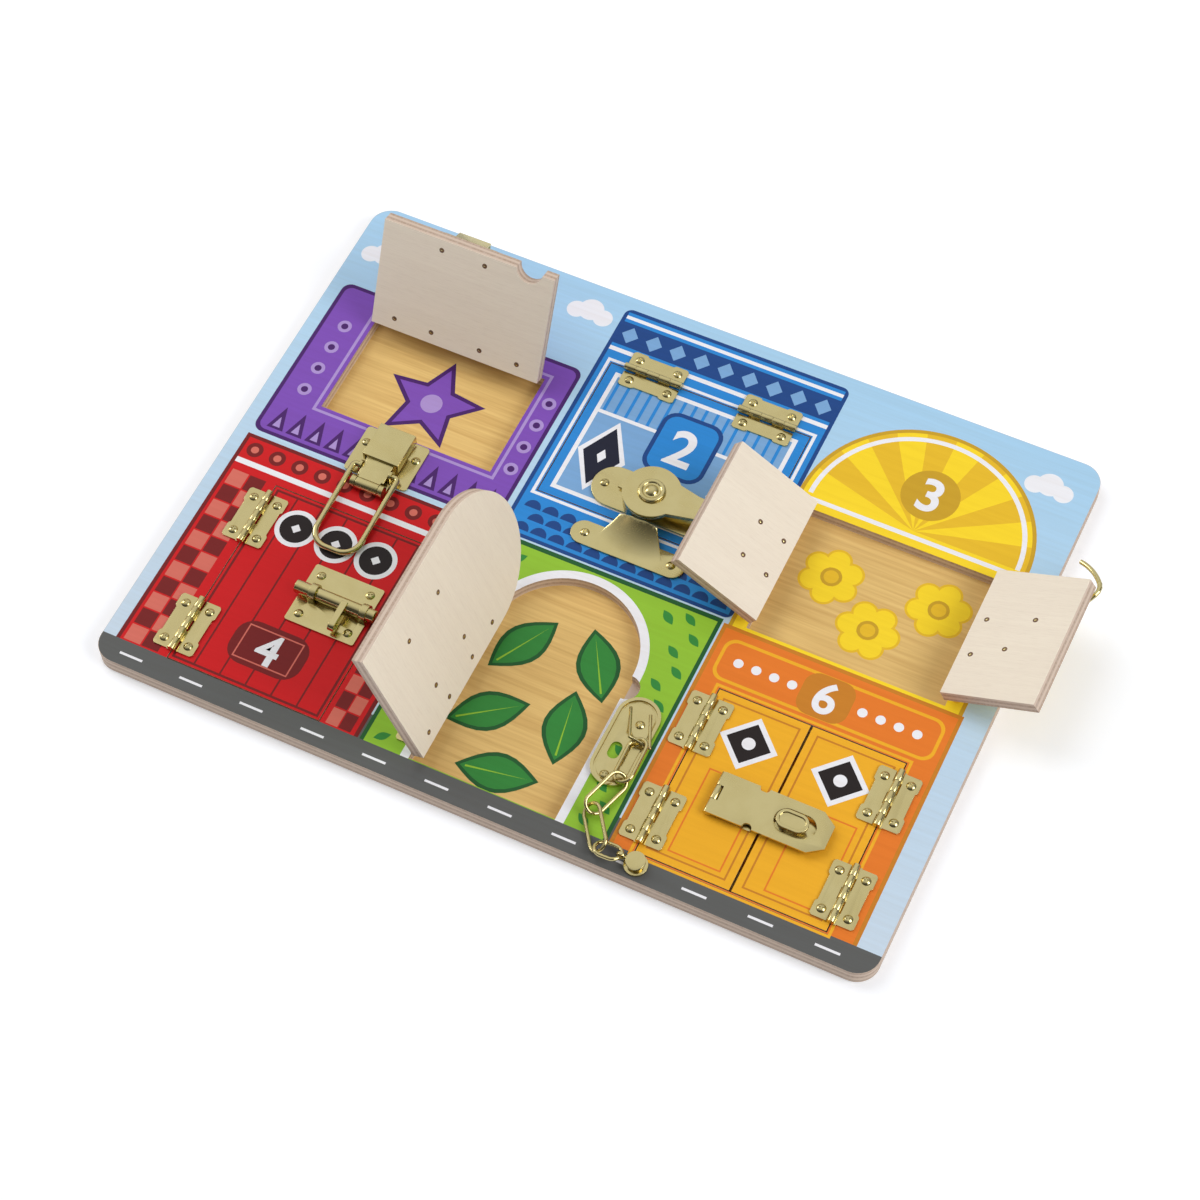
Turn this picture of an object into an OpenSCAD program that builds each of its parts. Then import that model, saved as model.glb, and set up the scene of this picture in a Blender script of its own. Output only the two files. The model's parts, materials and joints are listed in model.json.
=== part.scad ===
// Latch board: a flat plywood board with eight small doors over six recesses.
// Each door or pair of doors is held by another kind of brass latch: a draw latch,
// a sash lock, a hook and eye, a slide bolt, a door chain and a turn-button hasp.
// X runs along the long side, Y towards the back edge, Z up from the underside. Sizes in mm.
// Doors 1, 3 and 5 are drawn standing open, the others closed.

/* [Board] */
// Length of the board along X
board_length = 394; // [392:1:420]
// Depth of the board along Y
board_depth = 292; // [290:1:310]
// Thickness of the backing panel
base_thickness = 2.6; // [2:0.1:4]
// Thickness of the front panel that has the door cut-outs
frame_thickness = 6.4; // [6:0.1:8]
// Radius of the board's corners
board_corner = 11; // [4:1:14]

/* [Doors] */
// Gap between a door and its cut-out, all round
door_gap = 0.6; // [0.5:0.05:0.9]
// Gap between the back of a closed door and the backing panel
door_float = 0.4; // [0.35:0.05:0.8]
// Gap between the two doors of a pair
pair_gap = 1.2; // [0.8:0.1:1.4]

/* [Door 1] */
// Centre of cut-out 1 along X
door_1_x = -118.7; // [-120:0.1:-117]
// Centre of cut-out 1 along Y
door_1_y = 52.4; // [52:0.1:54]
// Width of cut-out 1
door_1_width = 92.6; // [86:0.2:96]
// Height of cut-out 1
door_1_height = 60.2; // [56:0.2:62]
// Angle at which door 1 stands open
door_1_open = 114.6; // [90:0.1:150]
// Distance between the hinges of door 1
door_1_hinges = 47; // [40:0.5:52]
// Radius of the finger notch in door 1
door_1_notch = 7; // [5:0.5:8]

/* [Door 2] */
// Centre of cut-out 2 along X
door_2_x = 6.4; // [5:0.1:8]
// Centre of cut-out 2 along Y
door_2_y = 63.9; // [63:0.1:65]
// Width of cut-out 2
door_2_width = 107.6; // [100:0.2:110]
// Height of cut-out 2
door_2_height = 83.4; // [80:0.2:86]
// Distance between the hinges of door 2
door_2_hinges = 61; // [50:0.5:66]

/* [Doors 3] */
// Centre of cut-out 3 along X
door_3_x = 125.1; // [124:0.1:126]
// Centre of cut-out 3 along Y
door_3_y = 30.8; // [30:0.1:32]
// Width of cut-out 3
door_3_width = 99.4; // [96:0.2:102]
// Height of cut-out 3
door_3_height = 73.4; // [70:0.2:75]
// Angle at which the left door stands open
door_3_left_open = 146.1; // [100:0.1:150]
// Angle at which the right door stands open
door_3_right_open = 154.5; // [100:0.1:160]
// How far the two hinges sit below the middle
door_3_hinge_drop = 3.2; // [0:0.2:6]

/* [Door 4] */
// Centre of cut-out 4 along X
door_4_x = -122.3; // [-124:0.1:-121]
// Centre of cut-out 4 along Y
door_4_y = -80.6; // [-82:0.1:-80]
// Width of cut-out 4
door_4_width = 81; // [78:0.2:84]
// Height of cut-out 4
door_4_height = 106; // [100:0.2:108]
// Distance between the hinges of door 4
door_4_hinges = 65.6; // [56:0.2:68]

/* [Door 5] */
// Centre of cut-out 5 along X
door_5_x = 1.2; // [0:0.1:2]
// Lower edge of cut-out 5 along Y
door_5_low = -133; // [-134:0.1:-132]
// Width of cut-out 5, twice the radius of its arch
door_5_width = 74.2; // [70:0.2:76]
// Height of the straight sides below the arch
door_5_side = 82; // [78:0.2:84]
// Angle at which door 5 stands open
door_5_open = 109.2; // [90:0.1:118]
// Distance between the hinges of door 5
door_5_hinges = 43.5; // [38:0.5:46]
// Radius of the finger notch in the frame beside door 5
door_5_notch = 6.4; // [5:0.2:7]

/* [Doors 6] */
// Centre of cut-out 6 along X
door_6_x = 123.9; // [123:0.1:125]
// Centre of cut-out 6 along Y
door_6_y = -86.6; // [-87:0.1:-85]
// Width of cut-out 6
door_6_width = 93.4; // [92:0.2:96]
// Height of cut-out 6
door_6_height = 92.4; // [88:0.2:94]
// Distance between the hinges of each door 6
door_6_hinges = 52; // [50:0.5:56]

/* [Hinges] */
// Length of a hinge leaf
leaf_length = 29.6; // [26:0.2:30]
// Reach of a leaf from the hinge axis
leaf_reach = 10.6; // [10:0.1:11]
// Thickness of a leaf
leaf_thickness = 0.9; // [0.7:0.05:1.1]
// Radius of the rolled knuckle
knuckle_radius = 1.8; // [1.6:0.05:2]
// Radius of the hinge pin
pin_radius = 0.8; // [0.6:0.05:0.9]

/* [Screws] */
// Radius of the domed screw head
screw_head = 2.3; // [2:0.05:2.5]
// Height of the domed screw head
screw_dome = 1.1; // [0.8:0.05:1.2]
// Radius of the screw shank
screw_shank = 1.1; // [0.9:0.05:1.3]

/* [Draw latch] */
// Width of the draw latch base
draw_width = 34; // [33:0.5:38]
// Half the width between the legs of the wire loop
loop_half = 11.9; // [11.6:0.1:12.4]
// Reach of the wire loop from its pivot
loop_reach = 47; // [40:0.5:48]
// Radius of the loop wire
loop_wire = 1.45; // [1.2:0.05:1.5]
// Height of the barrel of the lever above the board
draw_lift = 3.3; // [3.2:0.05:3.6]

/* [Sash lock] */
// Radius of the round cam plate
cam_radius = 14.25; // [13.5:0.25:15]
// Length of the cam lever from the pivot
cam_lever = 34; // [26:0.5:36]
// Height of the cam plate above the board
cam_lift = 10.4; // [10:0.1:12]
// Distance between the screws of the keeper
keeper_screws = 45; // [42:0.5:48]

/* [Hook and eye] */
// Length of the straight part of the hook
hook_length = 40; // [36:0.5:42]
// Radius of the curve at the end of the hook
hook_curve = 32; // [28:0.5:36]
// Radius of the hook wire
hook_wire = 1.2; // [1:0.05:1.25]
// Angle at which the hook lies, measured from the X axis
hook_angle = 122; // [110:1:130]

/* [Slide bolt] */
// Radius of the bolt rod
bolt_radius = 3.3; // [2.8:0.05:3.4]
// Length of the bolt rod
bolt_length = 41.8; // [40:0.2:42.6]
// Length of the bolt plate along X
bolt_plate_length = 36.5; // [35:0.5:38]
// Width of the bolt plate along Y
bolt_plate_width = 33; // [32:0.5:36]

/* [Door chain] */
// Half the width of a chain link between its wire centres
link_half = 4.6; // [4.4:0.05:4.7]
// Radius of the link wire
link_wire = 0.9; // [0.8:0.05:0.95]
// Length of the anchor plate
anchor_length = 48; // [46:0.5:50]
// Width of the anchor plate
anchor_width = 21; // [20:0.5:22]

/* [Hasp] */
// Length of the strap from its hinge to its tip
strap_length = 55.4; // [54:0.2:57]
// Width of the strap
strap_width = 22; // [20:0.5:23]
// Height of the strap's underside above the doors
strap_lift = 3.1; // [3:0.05:3.4]
// Length of the oval turn button
button_length = 15.4; // [14:0.2:15.6]
// Width of the oval turn button
button_width = 9.6; // [8.8:0.2:10]

/* [Hidden] */
$fn = 48;

// Colours of the two materials
wood = [0.87, 0.78, 0.64];
brass = [0.78, 0.70, 0.45];

// Clearances: a pin in its bore, and two pieces that pass each other
run = 0.05;
pass = 0.3;
// Overlap that joins the pieces of one solid, and the excess of a cutting tool
join = 0.2;
cut = 1;

// Levels of the board
top = base_thickness + frame_thickness;
door_back = base_thickness + door_float;
axis_z = top + knuckle_radius + pass;

// Hinges: five knuckles on a pin, two screws in each leaf
knuckle_count = 5;
knuckle_pitch = (leaf_length + 1) / knuckle_count;
knuckle_gap = 0.15;
leaf_start = knuckle_radius + pass + join;
leaf_screw_x = 6.4;
leaf_screw_y = leaf_length * 0.345;
leaf_lobe = leaf_length * 0.28;

// Hinge axes, halfway across the gap on the hinged side
door_1_axis = door_1_y + door_1_height / 2 - door_gap / 2;
door_2_axis = door_2_y + door_2_height / 2 - door_gap / 2;
door_3_left_axis = door_3_x - door_3_width / 2 + door_gap / 2;
door_3_right_axis = door_3_x + door_3_width / 2 - door_gap / 2;
door_4_axis = door_4_x - door_4_width / 2 + door_gap / 2;
door_5_axis = door_5_x - door_5_width / 2 + door_gap / 2;
door_6_left_axis = door_6_x - door_6_width / 2 + door_gap / 2;
door_6_right_axis = door_6_x + door_6_width / 2 - door_gap / 2;
door_3_hinge_y = door_3_y - door_3_hinge_drop;
door_5_hinge_y = door_5_low + door_5_side * 0.522;
door_5_arch_y = door_5_low + door_5_side;

// Slope of the free edges of the narrow doors
edge_bevel = 0.8;

// Draw latch, placed from the lower edge of cut-out 1
draw_x = door_1_x - 2.3;
draw_edge = door_1_y - door_1_height / 2;
draw_back = draw_edge - 0.9;
draw_barrel_y = draw_edge - 33.8;
draw_barrel_z = top + draw_lift;
draw_barrel = 3;
draw_pivot_y = draw_barrel_y + 9;
draw_pivot_z = draw_barrel_z + 1;
draw_plate = 1;
neck_half = 7;
cheek_half = neck_half + 0.4;
cheek = 1.2;
lever_half = loop_half - loop_wire - 0.9;
draw_screw_x = draw_width / 2 - screw_head - 1.2;
draw_screw_y = draw_edge - 10;
loop_corner = 9;
loop_dip = asin((draw_pivot_z - top - loop_wire - 0.1) / loop_reach);
catch_screw_x = 11.6;
catch_y = draw_edge + door_gap + 6.4;

// Sash lock, placed from the lower edge of cut-out 2
sash_x = door_2_x + 0.6;
sash_edge = door_2_y - door_2_height / 2;
sash_y = sash_edge + 14.8;
sash_screw = 26;
sash_base_t = 1.5;
cam_z = top + cam_lift;
cam_t = 2.6;
cam_hub = 9;
cam_tongue = 18.6;
rivet_radius = 3;
rivet_head = 6.8;
keeper_y = sash_edge - 12.5;
keeper_t = 1.2;
keeper_low = 33;
keeper_high = cam_radius + 1;
keeper_half_angle = 33;

// Hook and eye
hook_x = door_3_right_axis - 26.2;
hook_y = door_3_y + 0.8;
hook_z = top + 4;
hook_slant = 115;
hook_screw = 10;
eye_x = door_3_left_axis + 21.2;
eye_y = door_3_hinge_y + 0.6;
eye_ring = 4.2;

// Slide bolt, placed from the free edge of door 4
door_4_edge = door_4_x + door_4_width / 2 - door_gap;
bolt_y = door_4_y + 5;
bolt_z = top + 4.5;
bolt_tip = door_4_edge - 0.4;
bolt_plate_x = door_4_edge - 4.2 - bolt_plate_length / 2;
bolt_strap = 3.4;
bolt_shell = 1;
bolt_handle_x = bolt_plate_x + 6.4;

// Door chain: the rest path of its links over the front panel
chain_z = top + 4.7;
chain_x = door_5_x + door_5_width / 2 + 18.9;
chain_y = door_5_arch_y - 32.9;
link_pitch = 20;
link_slack = 1.85;
link_turns = [-89, -107.5, -54.5, 2];
link_rolls = [20, -32, 38, -22];
joint_1 = [chain_x, chain_y];
joint_2 = joint_1 + link_pitch * [cos(link_turns[0]), sin(link_turns[0])];
joint_3 = joint_2 + link_pitch * [cos(link_turns[1]), sin(link_turns[1])];
joint_4 = joint_3 + link_pitch * [cos(link_turns[2]), sin(link_turns[2])];
last_pitch = link_pitch - 11;
anchor_x = chain_x - 6.7;
anchor_y = chain_y - 0.7;
anchor_screws = [
    [anchor_x - 1.6, anchor_y - anchor_length / 2 + 4.8],
    [anchor_x + 2.4, anchor_y + anchor_length / 2 - 13.5]
];
bow_half = 5.3;
bow_wire = 0.8;
bow_back = 16.4;
bow_lean = 7.1;
bow_tilt = 20;
track_x = door_5_axis + 36;
track_y = door_5_hinge_y - 0.6;
track_screw_x = 16.6;
track_screw_y = 14;

// Hasp, placed from the meeting edges of doors 6
hasp_x = door_6_x - 25;
hasp_y = door_6_y - 5.3;
hasp_axis_z = top + strap_lift - 0.7;
hasp_knuckle = 1.9;
hasp_pin_radius = 0.9;
strap_t = 1.2;
hasp_plate_t = 1;
strap_top = top + strap_lift + strap_t;
button_x = door_6_x + 12.3;
button_y = hasp_y;
button_neck = 4.2;
slot_left = button_length / 2 + 1;
slot_right = button_length / 2 + 3.6;
slot_half = button_width / 2 + 1.3;

// General shapes

module rounded_square(length, width, corner) {
    square([length - 2 * corner, width], center = true);
    square([length, width - 2 * corner], center = true);
    for (x = [-1, 1], y = [-1, 1])
        translate([x * (length / 2 - corner), y * (width / 2 - corner)])
            circle(r = corner);
}

module slotted(length, width) {
    square([length - width, width], center = true);
    for (x = [-1, 1])
        translate([x * (length - width) / 2, 0])
            circle(d = width);
}

module plate(z, thickness) {
    translate([0, 0, z])
        linear_extrude(height = thickness)
            children();
}

module bore(x, y) {
    translate([x, y, 0])
        cylinder(r = screw_shank + run, h = top * 3);
}

// A bend of round wire in the XY plane, starting on the X axis
module bend(radius, wire, angle) {
    rotate_extrude(angle = angle)
        translate([radius, 0])
            circle(r = wire);
}

// A straight piece of round wire along X
module wire_x(length, wire) {
    rotate([0, 90, 0])
        cylinder(r = wire, h = length);
}

// Domed screw seated at height z, its pointed end at height low
module screw(x, y, z, low) {
    ball = (screw_head * screw_head + screw_dome * screw_dome) / (2 * screw_dome);
    point = 1.2;
    translate([x, y, z])
        intersection() {
            translate([0, 0, screw_dome - ball])
                sphere(r = ball);
            cylinder(r = screw_head, h = screw_dome * 2);
        }
    translate([x, y, low + point])
        cylinder(r = screw_shank, h = z - low - point + join);
    translate([x, y, low])
        cylinder(r1 = screw_shank * 0.3, r2 = screw_shank, h = point);
}

// Doors swing about their hinged edges: the upper edge, the left edge or the right edge

module swing_up(axis, angle) {
    translate([0, axis, axis_z])
        rotate([-angle, 0, 0])
            translate([0, -axis, -axis_z])
                children();
}

module swing_left(axis, angle) {
    translate([axis, 0, axis_z])
        rotate([0, -angle, 0])
            translate([-axis, 0, -axis_z])
                children();
}

module swing_right(axis, angle) {
    translate([axis, 0, axis_z])
        rotate([0, angle, 0])
            translate([-axis, 0, -axis_z])
                children();
}

module rest_1() {
    swing_up(door_1_axis, door_1_open)
        children();
}

module rest_3_left() {
    swing_left(door_3_left_axis, door_3_left_open)
        children();
}

module rest_3_right() {
    swing_right(door_3_right_axis, door_3_right_open)
        children();
}

module rest_5() {
    swing_left(door_5_axis, door_5_open)
        children();
}

// Places of the hinges. In each place the pin lies along Y and the door is on the +X side

module at_hinge(x, y, turn) {
    translate([x, y, 0])
        rotate([0, 0, turn])
            children();
}

module hinges_1() {
    for (side = [-1, 1])
        at_hinge(door_1_x + side * door_1_hinges / 2, door_1_axis, -90)
            children();
}

module hinges_2() {
    for (side = [-1, 1])
        at_hinge(door_2_x + side * door_2_hinges / 2, door_2_axis, -90)
            children();
}

module hinges_3_left() {
    at_hinge(door_3_left_axis, door_3_hinge_y, 0)
        children();
}

module hinges_3_right() {
    at_hinge(door_3_right_axis, door_3_hinge_y, 180)
        children();
}

module hinges_4() {
    for (side = [-1, 1])
        at_hinge(door_4_axis, door_4_y - 0.8 + side * door_4_hinges / 2, 0)
            children();
}

module hinges_5() {
    for (side = [-1, 1])
        at_hinge(door_5_axis, door_5_hinge_y + side * door_5_hinges / 2, 0)
            children();
}

module hinges_6_left() {
    for (side = [-1, 1])
        at_hinge(door_6_left_axis, door_6_y - 0.6 + side * door_6_hinges / 2, 0)
            children();
}

module hinges_6_right() {
    for (side = [-1, 1])
        at_hinge(door_6_right_axis, door_6_y - 0.6 + side * door_6_hinges / 2, 180)
            children();
}

module every_hinge() {
    hinges_1() children();
    hinges_2() children();
    hinges_3_left() children();
    hinges_3_right() children();
    hinges_4() children();
    hinges_5() children();
    hinges_6_left() children();
    hinges_6_right() children();
}

module leaf_outline() {
    translate([leaf_start, -leaf_length / 2])
        square([leaf_reach - 1 - leaf_start, leaf_length]);
    for (side = [-1, 1])
        translate([(leaf_start + leaf_reach) / 2, side * (leaf_length - leaf_lobe) / 2])
            rounded_square(leaf_reach - leaf_start, leaf_lobe, 1.8);
}

// Half of a hinge: its plate, its screw holes and its share of the knuckles
module leaf(side, first) {
    mirror([side < 0 ? 1 : 0, 0, 0])
        difference() {
            union() {
                plate(top, leaf_thickness)
                    leaf_outline();
                for (i = [first : 2 : knuckle_count - 1])
                    translate([0, (i - (knuckle_count - 1) / 2) * knuckle_pitch, 0])
                        knuckle();
            }
            translate([0, 0, axis_z])
                rotate([90, 0, 0])
                    cylinder(r = pin_radius + run, h = leaf_length * 2, center = true);
            for (y = [-1, 1])
                bore(leaf_screw_x, y * leaf_screw_y);
        }
}

module knuckle() {
    long = knuckle_pitch - knuckle_gap;
    translate([0, 0, axis_z])
        rotate([90, 0, 0])
            cylinder(r = knuckle_radius, h = long, center = true);
    translate([0, -long / 2, top])
        cube([leaf_start + join, long, leaf_thickness]);
}

module frame_leaf() {
    leaf(-1, 0);
}

module door_leaf() {
    leaf(1, 1);
}

module hinge_bores(side) {
    for (y = [-1, 1])
        bore(side * leaf_screw_x, y * leaf_screw_y);
}

module hinge_screws(side, low) {
    for (y = [-1, 1])
        screw(side * leaf_screw_x, y * leaf_screw_y, top + leaf_thickness, low);
}

module hinge_pin() {
    translate([0, 0, axis_z])
        rotate([90, 0, 0])
            cylinder(r = pin_radius, h = knuckle_pitch * knuckle_count, center = true);
}

// Door outlines, larger than the cut-out by a negative gap

module outline_5(gap) {
    half = door_5_width / 2 - gap;
    translate([door_5_x - half, door_5_low + gap])
        square([2 * half, door_5_side - gap]);
    translate([door_5_x, door_5_arch_y])
        circle(r = half);
}

module opening(x, y, width, height) {
    translate([x, y])
        square([width, height], center = true);
}

module door_blank(x, y, width, height) {
    opening(x, y, width - 2 * door_gap, height - 2 * door_gap);
}

// Panels

module base_panel() {
    color(wood)
        plate(0, base_thickness)
            rounded_square(board_length, board_depth, board_corner);
}

module frame_outline() {
    difference() {
        rounded_square(board_length, board_depth, board_corner);
        opening(door_1_x, door_1_y, door_1_width, door_1_height);
        opening(door_2_x, door_2_y, door_2_width, door_2_height);
        opening(door_3_x, door_3_y, door_3_width, door_3_height);
        opening(door_4_x, door_4_y, door_4_width, door_4_height);
        outline_5(0);
        translate([door_5_x + door_5_width / 2, door_5_arch_y - 7])
            circle(r = door_5_notch);
        opening(door_6_x, door_6_y, door_6_width, door_6_height);
    }
}

module frame_panel() {
    color(wood)
        difference() {
            plate(base_thickness, frame_thickness)
                frame_outline();
            translate([0, 0, base_thickness + frame_thickness * 0.1])
                frame_bores();
        }
}

module frame_bores() {
    every_hinge() hinge_bores(-1);
    for (x = [-1, 1])
        bore(draw_x + x * draw_screw_x, draw_screw_y);
    for (x = [-1, 1])
        bore(sash_x + x * keeper_screws / 2, keeper_y);
    for (y = [-1, 1])
        bore(bolt_keeper_x(), bolt_y + y * bolt_keeper_screw());
    for (p = anchor_screws)
        bore(p[0], p[1]);
}

module frame_leaves() {
    color(brass)
        every_hinge() frame_leaf();
}

module hinge_pins() {
    color(brass)
        every_hinge() hinge_pin();
}

module frame_screws() {
    low = base_thickness + frame_thickness * 0.15;
    color(brass) {
        every_hinge() hinge_screws(-1, low);
        for (x = [-1, 1])
            screw(draw_x + x * draw_screw_x, draw_screw_y, top + draw_plate, low);
        for (x = [-1, 1])
            screw(sash_x + x * keeper_screws / 2, keeper_y, top + keeper_t, low);
        for (y = [-1, 1])
            screw(bolt_keeper_x(), bolt_y + y * bolt_keeper_screw(), top + bolt_shell, low);
        for (p = anchor_screws)
            screw(p[0], p[1], top + anchor_floor(), low);
    }
}

// Slope on the back of a free edge at x = 0, so that the edge clears its neighbour as it swings
module edge_slope(length) {
    translate([0, length / 2, 0])
        rotate([90, 0, 0])
            linear_extrude(height = length)
                polygon([
                    [-edge_bevel, door_back],
                    [0, top],
                    [cut, top],
                    [cut, door_back - cut],
                    [-edge_bevel, door_back - cut]
                ]);
}

// Depth to which a screw of a door shows on the door's back
function door_low() = door_back - door_float / 2;

// Door 1 and the draw latch

module door_1_panel() {
    color(wood)
        rest_1()
            difference() {
                plate(door_back, top - door_back)
                    difference() {
                        door_blank(door_1_x, door_1_y, door_1_width, door_1_height);
                        translate([door_1_x + door_1_width * 0.35, draw_edge + door_gap])
                            circle(r = door_1_notch);
                    }
                hinges_1() hinge_bores(1);
                for (x = [-1, 1])
                    bore(draw_x + x * catch_screw_x, catch_y);
                translate([door_1_x, draw_edge + door_gap, 0])
                    rotate([0, 0, -90])
                        edge_slope(door_1_width);
            }
}

module door_1_leaves() {
    color(brass)
        rest_1()
            hinges_1() door_leaf();
}

module door_1_screws() {
    color(brass)
        rest_1() {
            hinges_1() hinge_screws(1, door_low());
            for (x = [-1, 1])
                screw(draw_x + x * catch_screw_x, catch_y, top + draw_plate, door_low());
        }
}

// Catch on the door: a plate with a hooked wall for the wire loop
module draw_catch() {
    wall_y = draw_edge + door_gap + 0.6;
    wall_half = 8.5;
    wall_high = 6;
    color(brass)
        rest_1()
            difference() {
                union() {
                    translate([draw_x, catch_y, 0])
                        plate(top, draw_plate)
                            rounded_square(2 * catch_screw_x + 8, 12, 2);
                    translate([draw_x - wall_half, wall_y, top])
                        cube([2 * wall_half, draw_plate, wall_high]);
                    translate([draw_x - wall_half, wall_y, top + wall_high - draw_plate])
                        cube([2 * wall_half, 3.4, draw_plate]);
                }
                for (x = [-1, 1])
                    bore(draw_x + x * catch_screw_x, catch_y);
            }
}

// Base of the draw latch: plate, cheeks that carry the loop, and two knuckles for the lever
module draw_base() {
    ear_low = draw_pivot_y - 3;
    neck_low = draw_barrel_y + draw_barrel + pass;
    color(brass)
        difference() {
            union() {
                translate([draw_x, (draw_back + ear_low) / 2, 0])
                    plate(top, draw_plate)
                        rounded_square(draw_width, draw_back - ear_low, 2);
                translate([draw_x - cheek_half - cheek, neck_low, top])
                    cube([2 * (cheek_half + cheek), ear_low - neck_low + 3, draw_plate]);
                for (side = [-1, 1])
                    translate([draw_x, 0, 0])
                        draw_cheek(side);
            }
            for (x = [-1, 1])
                bore(draw_x + x * draw_screw_x, draw_screw_y);
            translate([draw_x - draw_width, draw_pivot_y, draw_pivot_z])
                wire_x(2 * draw_width, loop_wire + run);
            translate([draw_x - draw_width, draw_barrel_y, draw_barrel_z])
                wire_x(2 * draw_width, 1 + run);
        }
}

// One side of the base: a cheek with the loop's bearing, and a footed knuckle for the lever's pin
module draw_cheek(side) {
    long = 2 * cheek;
    rim = loop_wire + 1.2;
    mirror([side < 0 ? 1 : 0, 0, 0]) {
        translate([cheek_half, draw_pivot_y - rim, top])
            cube([cheek, 2 * rim, draw_pivot_z - top]);
        translate([cheek_half, draw_pivot_y, draw_pivot_z])
            wire_x(cheek, rim);
        translate([cheek_half - cheek, draw_barrel_y, draw_barrel_z])
            wire_x(long, draw_barrel);
        translate([cheek_half - cheek, draw_barrel_y, top])
            cube([long, draw_barrel + pass + join, draw_plate]);
    }
}

module draw_pin() {
    long = 2 * (cheek_half + cheek);
    color(brass)
        translate([draw_x - long / 2, draw_barrel_y, draw_barrel_z])
            wire_x(long, 1);
}

// Lever, folded back over its base: barrel, narrow neck, and a wide hood with side flanges
module draw_lever() {
    neck_z = draw_barrel_z + draw_barrel - draw_plate - 0.7;
    hood_z = neck_z + 2.2;
    step_y = draw_pivot_y + 4.6;
    knuckle_half = cheek_half - cheek - pass;
    flange = 1;
    color(brass)
        difference() {
            union() {
                translate([draw_x - knuckle_half, draw_barrel_y, draw_barrel_z])
                    wire_x(2 * knuckle_half, draw_barrel);
                translate([draw_x - knuckle_half, draw_barrel_y, neck_z])
                    cube([2 * knuckle_half, 4, draw_plate]);
                translate([draw_x - neck_half, draw_barrel_y + 3, neck_z])
                    cube([2 * neck_half, step_y - draw_barrel_y - 3 + flange, draw_plate]);
                translate([draw_x - neck_half, step_y, neck_z])
                    cube([2 * neck_half, flange, hood_z - neck_z + draw_plate]);
                translate([draw_x - lever_half, step_y, hood_z])
                    cube([2 * lever_half, draw_back - step_y, draw_plate]);
                for (side = [0, 1])
                    translate([draw_x - lever_half + side * (2 * lever_half - flange), step_y, top + 2.2])
                        cube([flange, draw_back - step_y, hood_z - top - 2.2 + draw_plate]);
            }
            translate([draw_x - draw_width, draw_barrel_y, draw_barrel_z])
                wire_x(2 * draw_width, 1 + run);
        }
}

// Wire loop of the draw latch, its two ends turned in through the cheeks of the base
module draw_loop() {
    leg = loop_reach - loop_corner;
    stub = loop_half - cheek_half;
    turn = loop_wire + 0.4;
    color(brass)
        translate([draw_x, draw_pivot_y, draw_pivot_z])
            rotate([loop_dip, 0, 0]) {
                for (side = [-1, 1])
                    mirror([side < 0 ? 1 : 0, 0, 0]) {
                        translate([cheek_half, 0, 0])
                            wire_x(stub - turn, loop_wire);
                        translate([loop_half - turn, -turn, 0])
                            bend(turn, loop_wire, 90);
                        translate([loop_half, -turn, 0])
                            rotate([90, 0, 0])
                                cylinder(r = loop_wire, h = leg - turn);
                        translate([loop_half - loop_corner, -leg, 0])
                            rotate([0, 0, -90])
                                bend(loop_corner, loop_wire, 90);
                    }
                translate([-(loop_half - loop_corner), -loop_reach, 0])
                    wire_x(2 * (loop_half - loop_corner), loop_wire);
            }
}

// Door 2 and the sash lock

module door_2_panel() {
    color(wood)
        difference() {
            plate(door_back, top - door_back)
                door_blank(door_2_x, door_2_y, door_2_width, door_2_height);
            hinges_2() hinge_bores(1);
            for (x = [-1, 1])
                bore(sash_x + x * sash_screw, sash_y + 2);
        }
}

module door_2_leaves() {
    color(brass)
        hinges_2() door_leaf();
}

module door_2_screws() {
    color(brass) {
        hinges_2() hinge_screws(1, door_low());
        for (x = [-1, 1])
            screw(sash_x + x * sash_screw, sash_y + 2, top + sash_base_t, door_low());
    }
}

// Oval base of the sash lock with a low seat for the cam
module sash_base() {
    color(brass)
        difference() {
            union() {
                translate([sash_x, sash_y + 2, 0])
                    plate(top, sash_base_t)
                        slotted(2 * sash_screw + 12, 23);
                translate([sash_x, sash_y, top])
                    cylinder(r = cam_hub - 1, h = sash_base_t + 0.7);
            }
            for (x = [-1, 1])
                bore(sash_x + x * sash_screw, sash_y + 2);
            translate([sash_x, sash_y, 0])
                cylinder(r = rivet_radius + run, h = top * 3);
        }
}

// Rivet that holds the cam on its base: a shaft, a rounded ring and a domed middle
module sash_rivet() {
    ring = 1.4;
    crown = rivet_head - 2 * ring - 0.2;
    dome = 2.2;
    head_z = cam_z + cam_t + 0.1;
    ball = (crown * crown + dome * dome) / (2 * dome);
    color(brass)
        translate([sash_x, sash_y, 0]) {
            translate([0, 0, top])
                cylinder(r = rivet_radius, h = head_z - top + join);
            translate([0, 0, head_z])
                cylinder(r = rivet_head - ring, h = ring / 2);
            translate([0, 0, head_z])
                rotate_extrude()
                    intersection() {
                        translate([rivet_head - ring, 0])
                            circle(r = ring);
                        square([rivet_head, ring]);
                    }
            translate([0, 0, head_z])
                intersection() {
                    translate([0, 0, dome - ball])
                        sphere(r = ball);
                    cylinder(r = crown, h = dome * 2);
                }
        }
}

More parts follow.
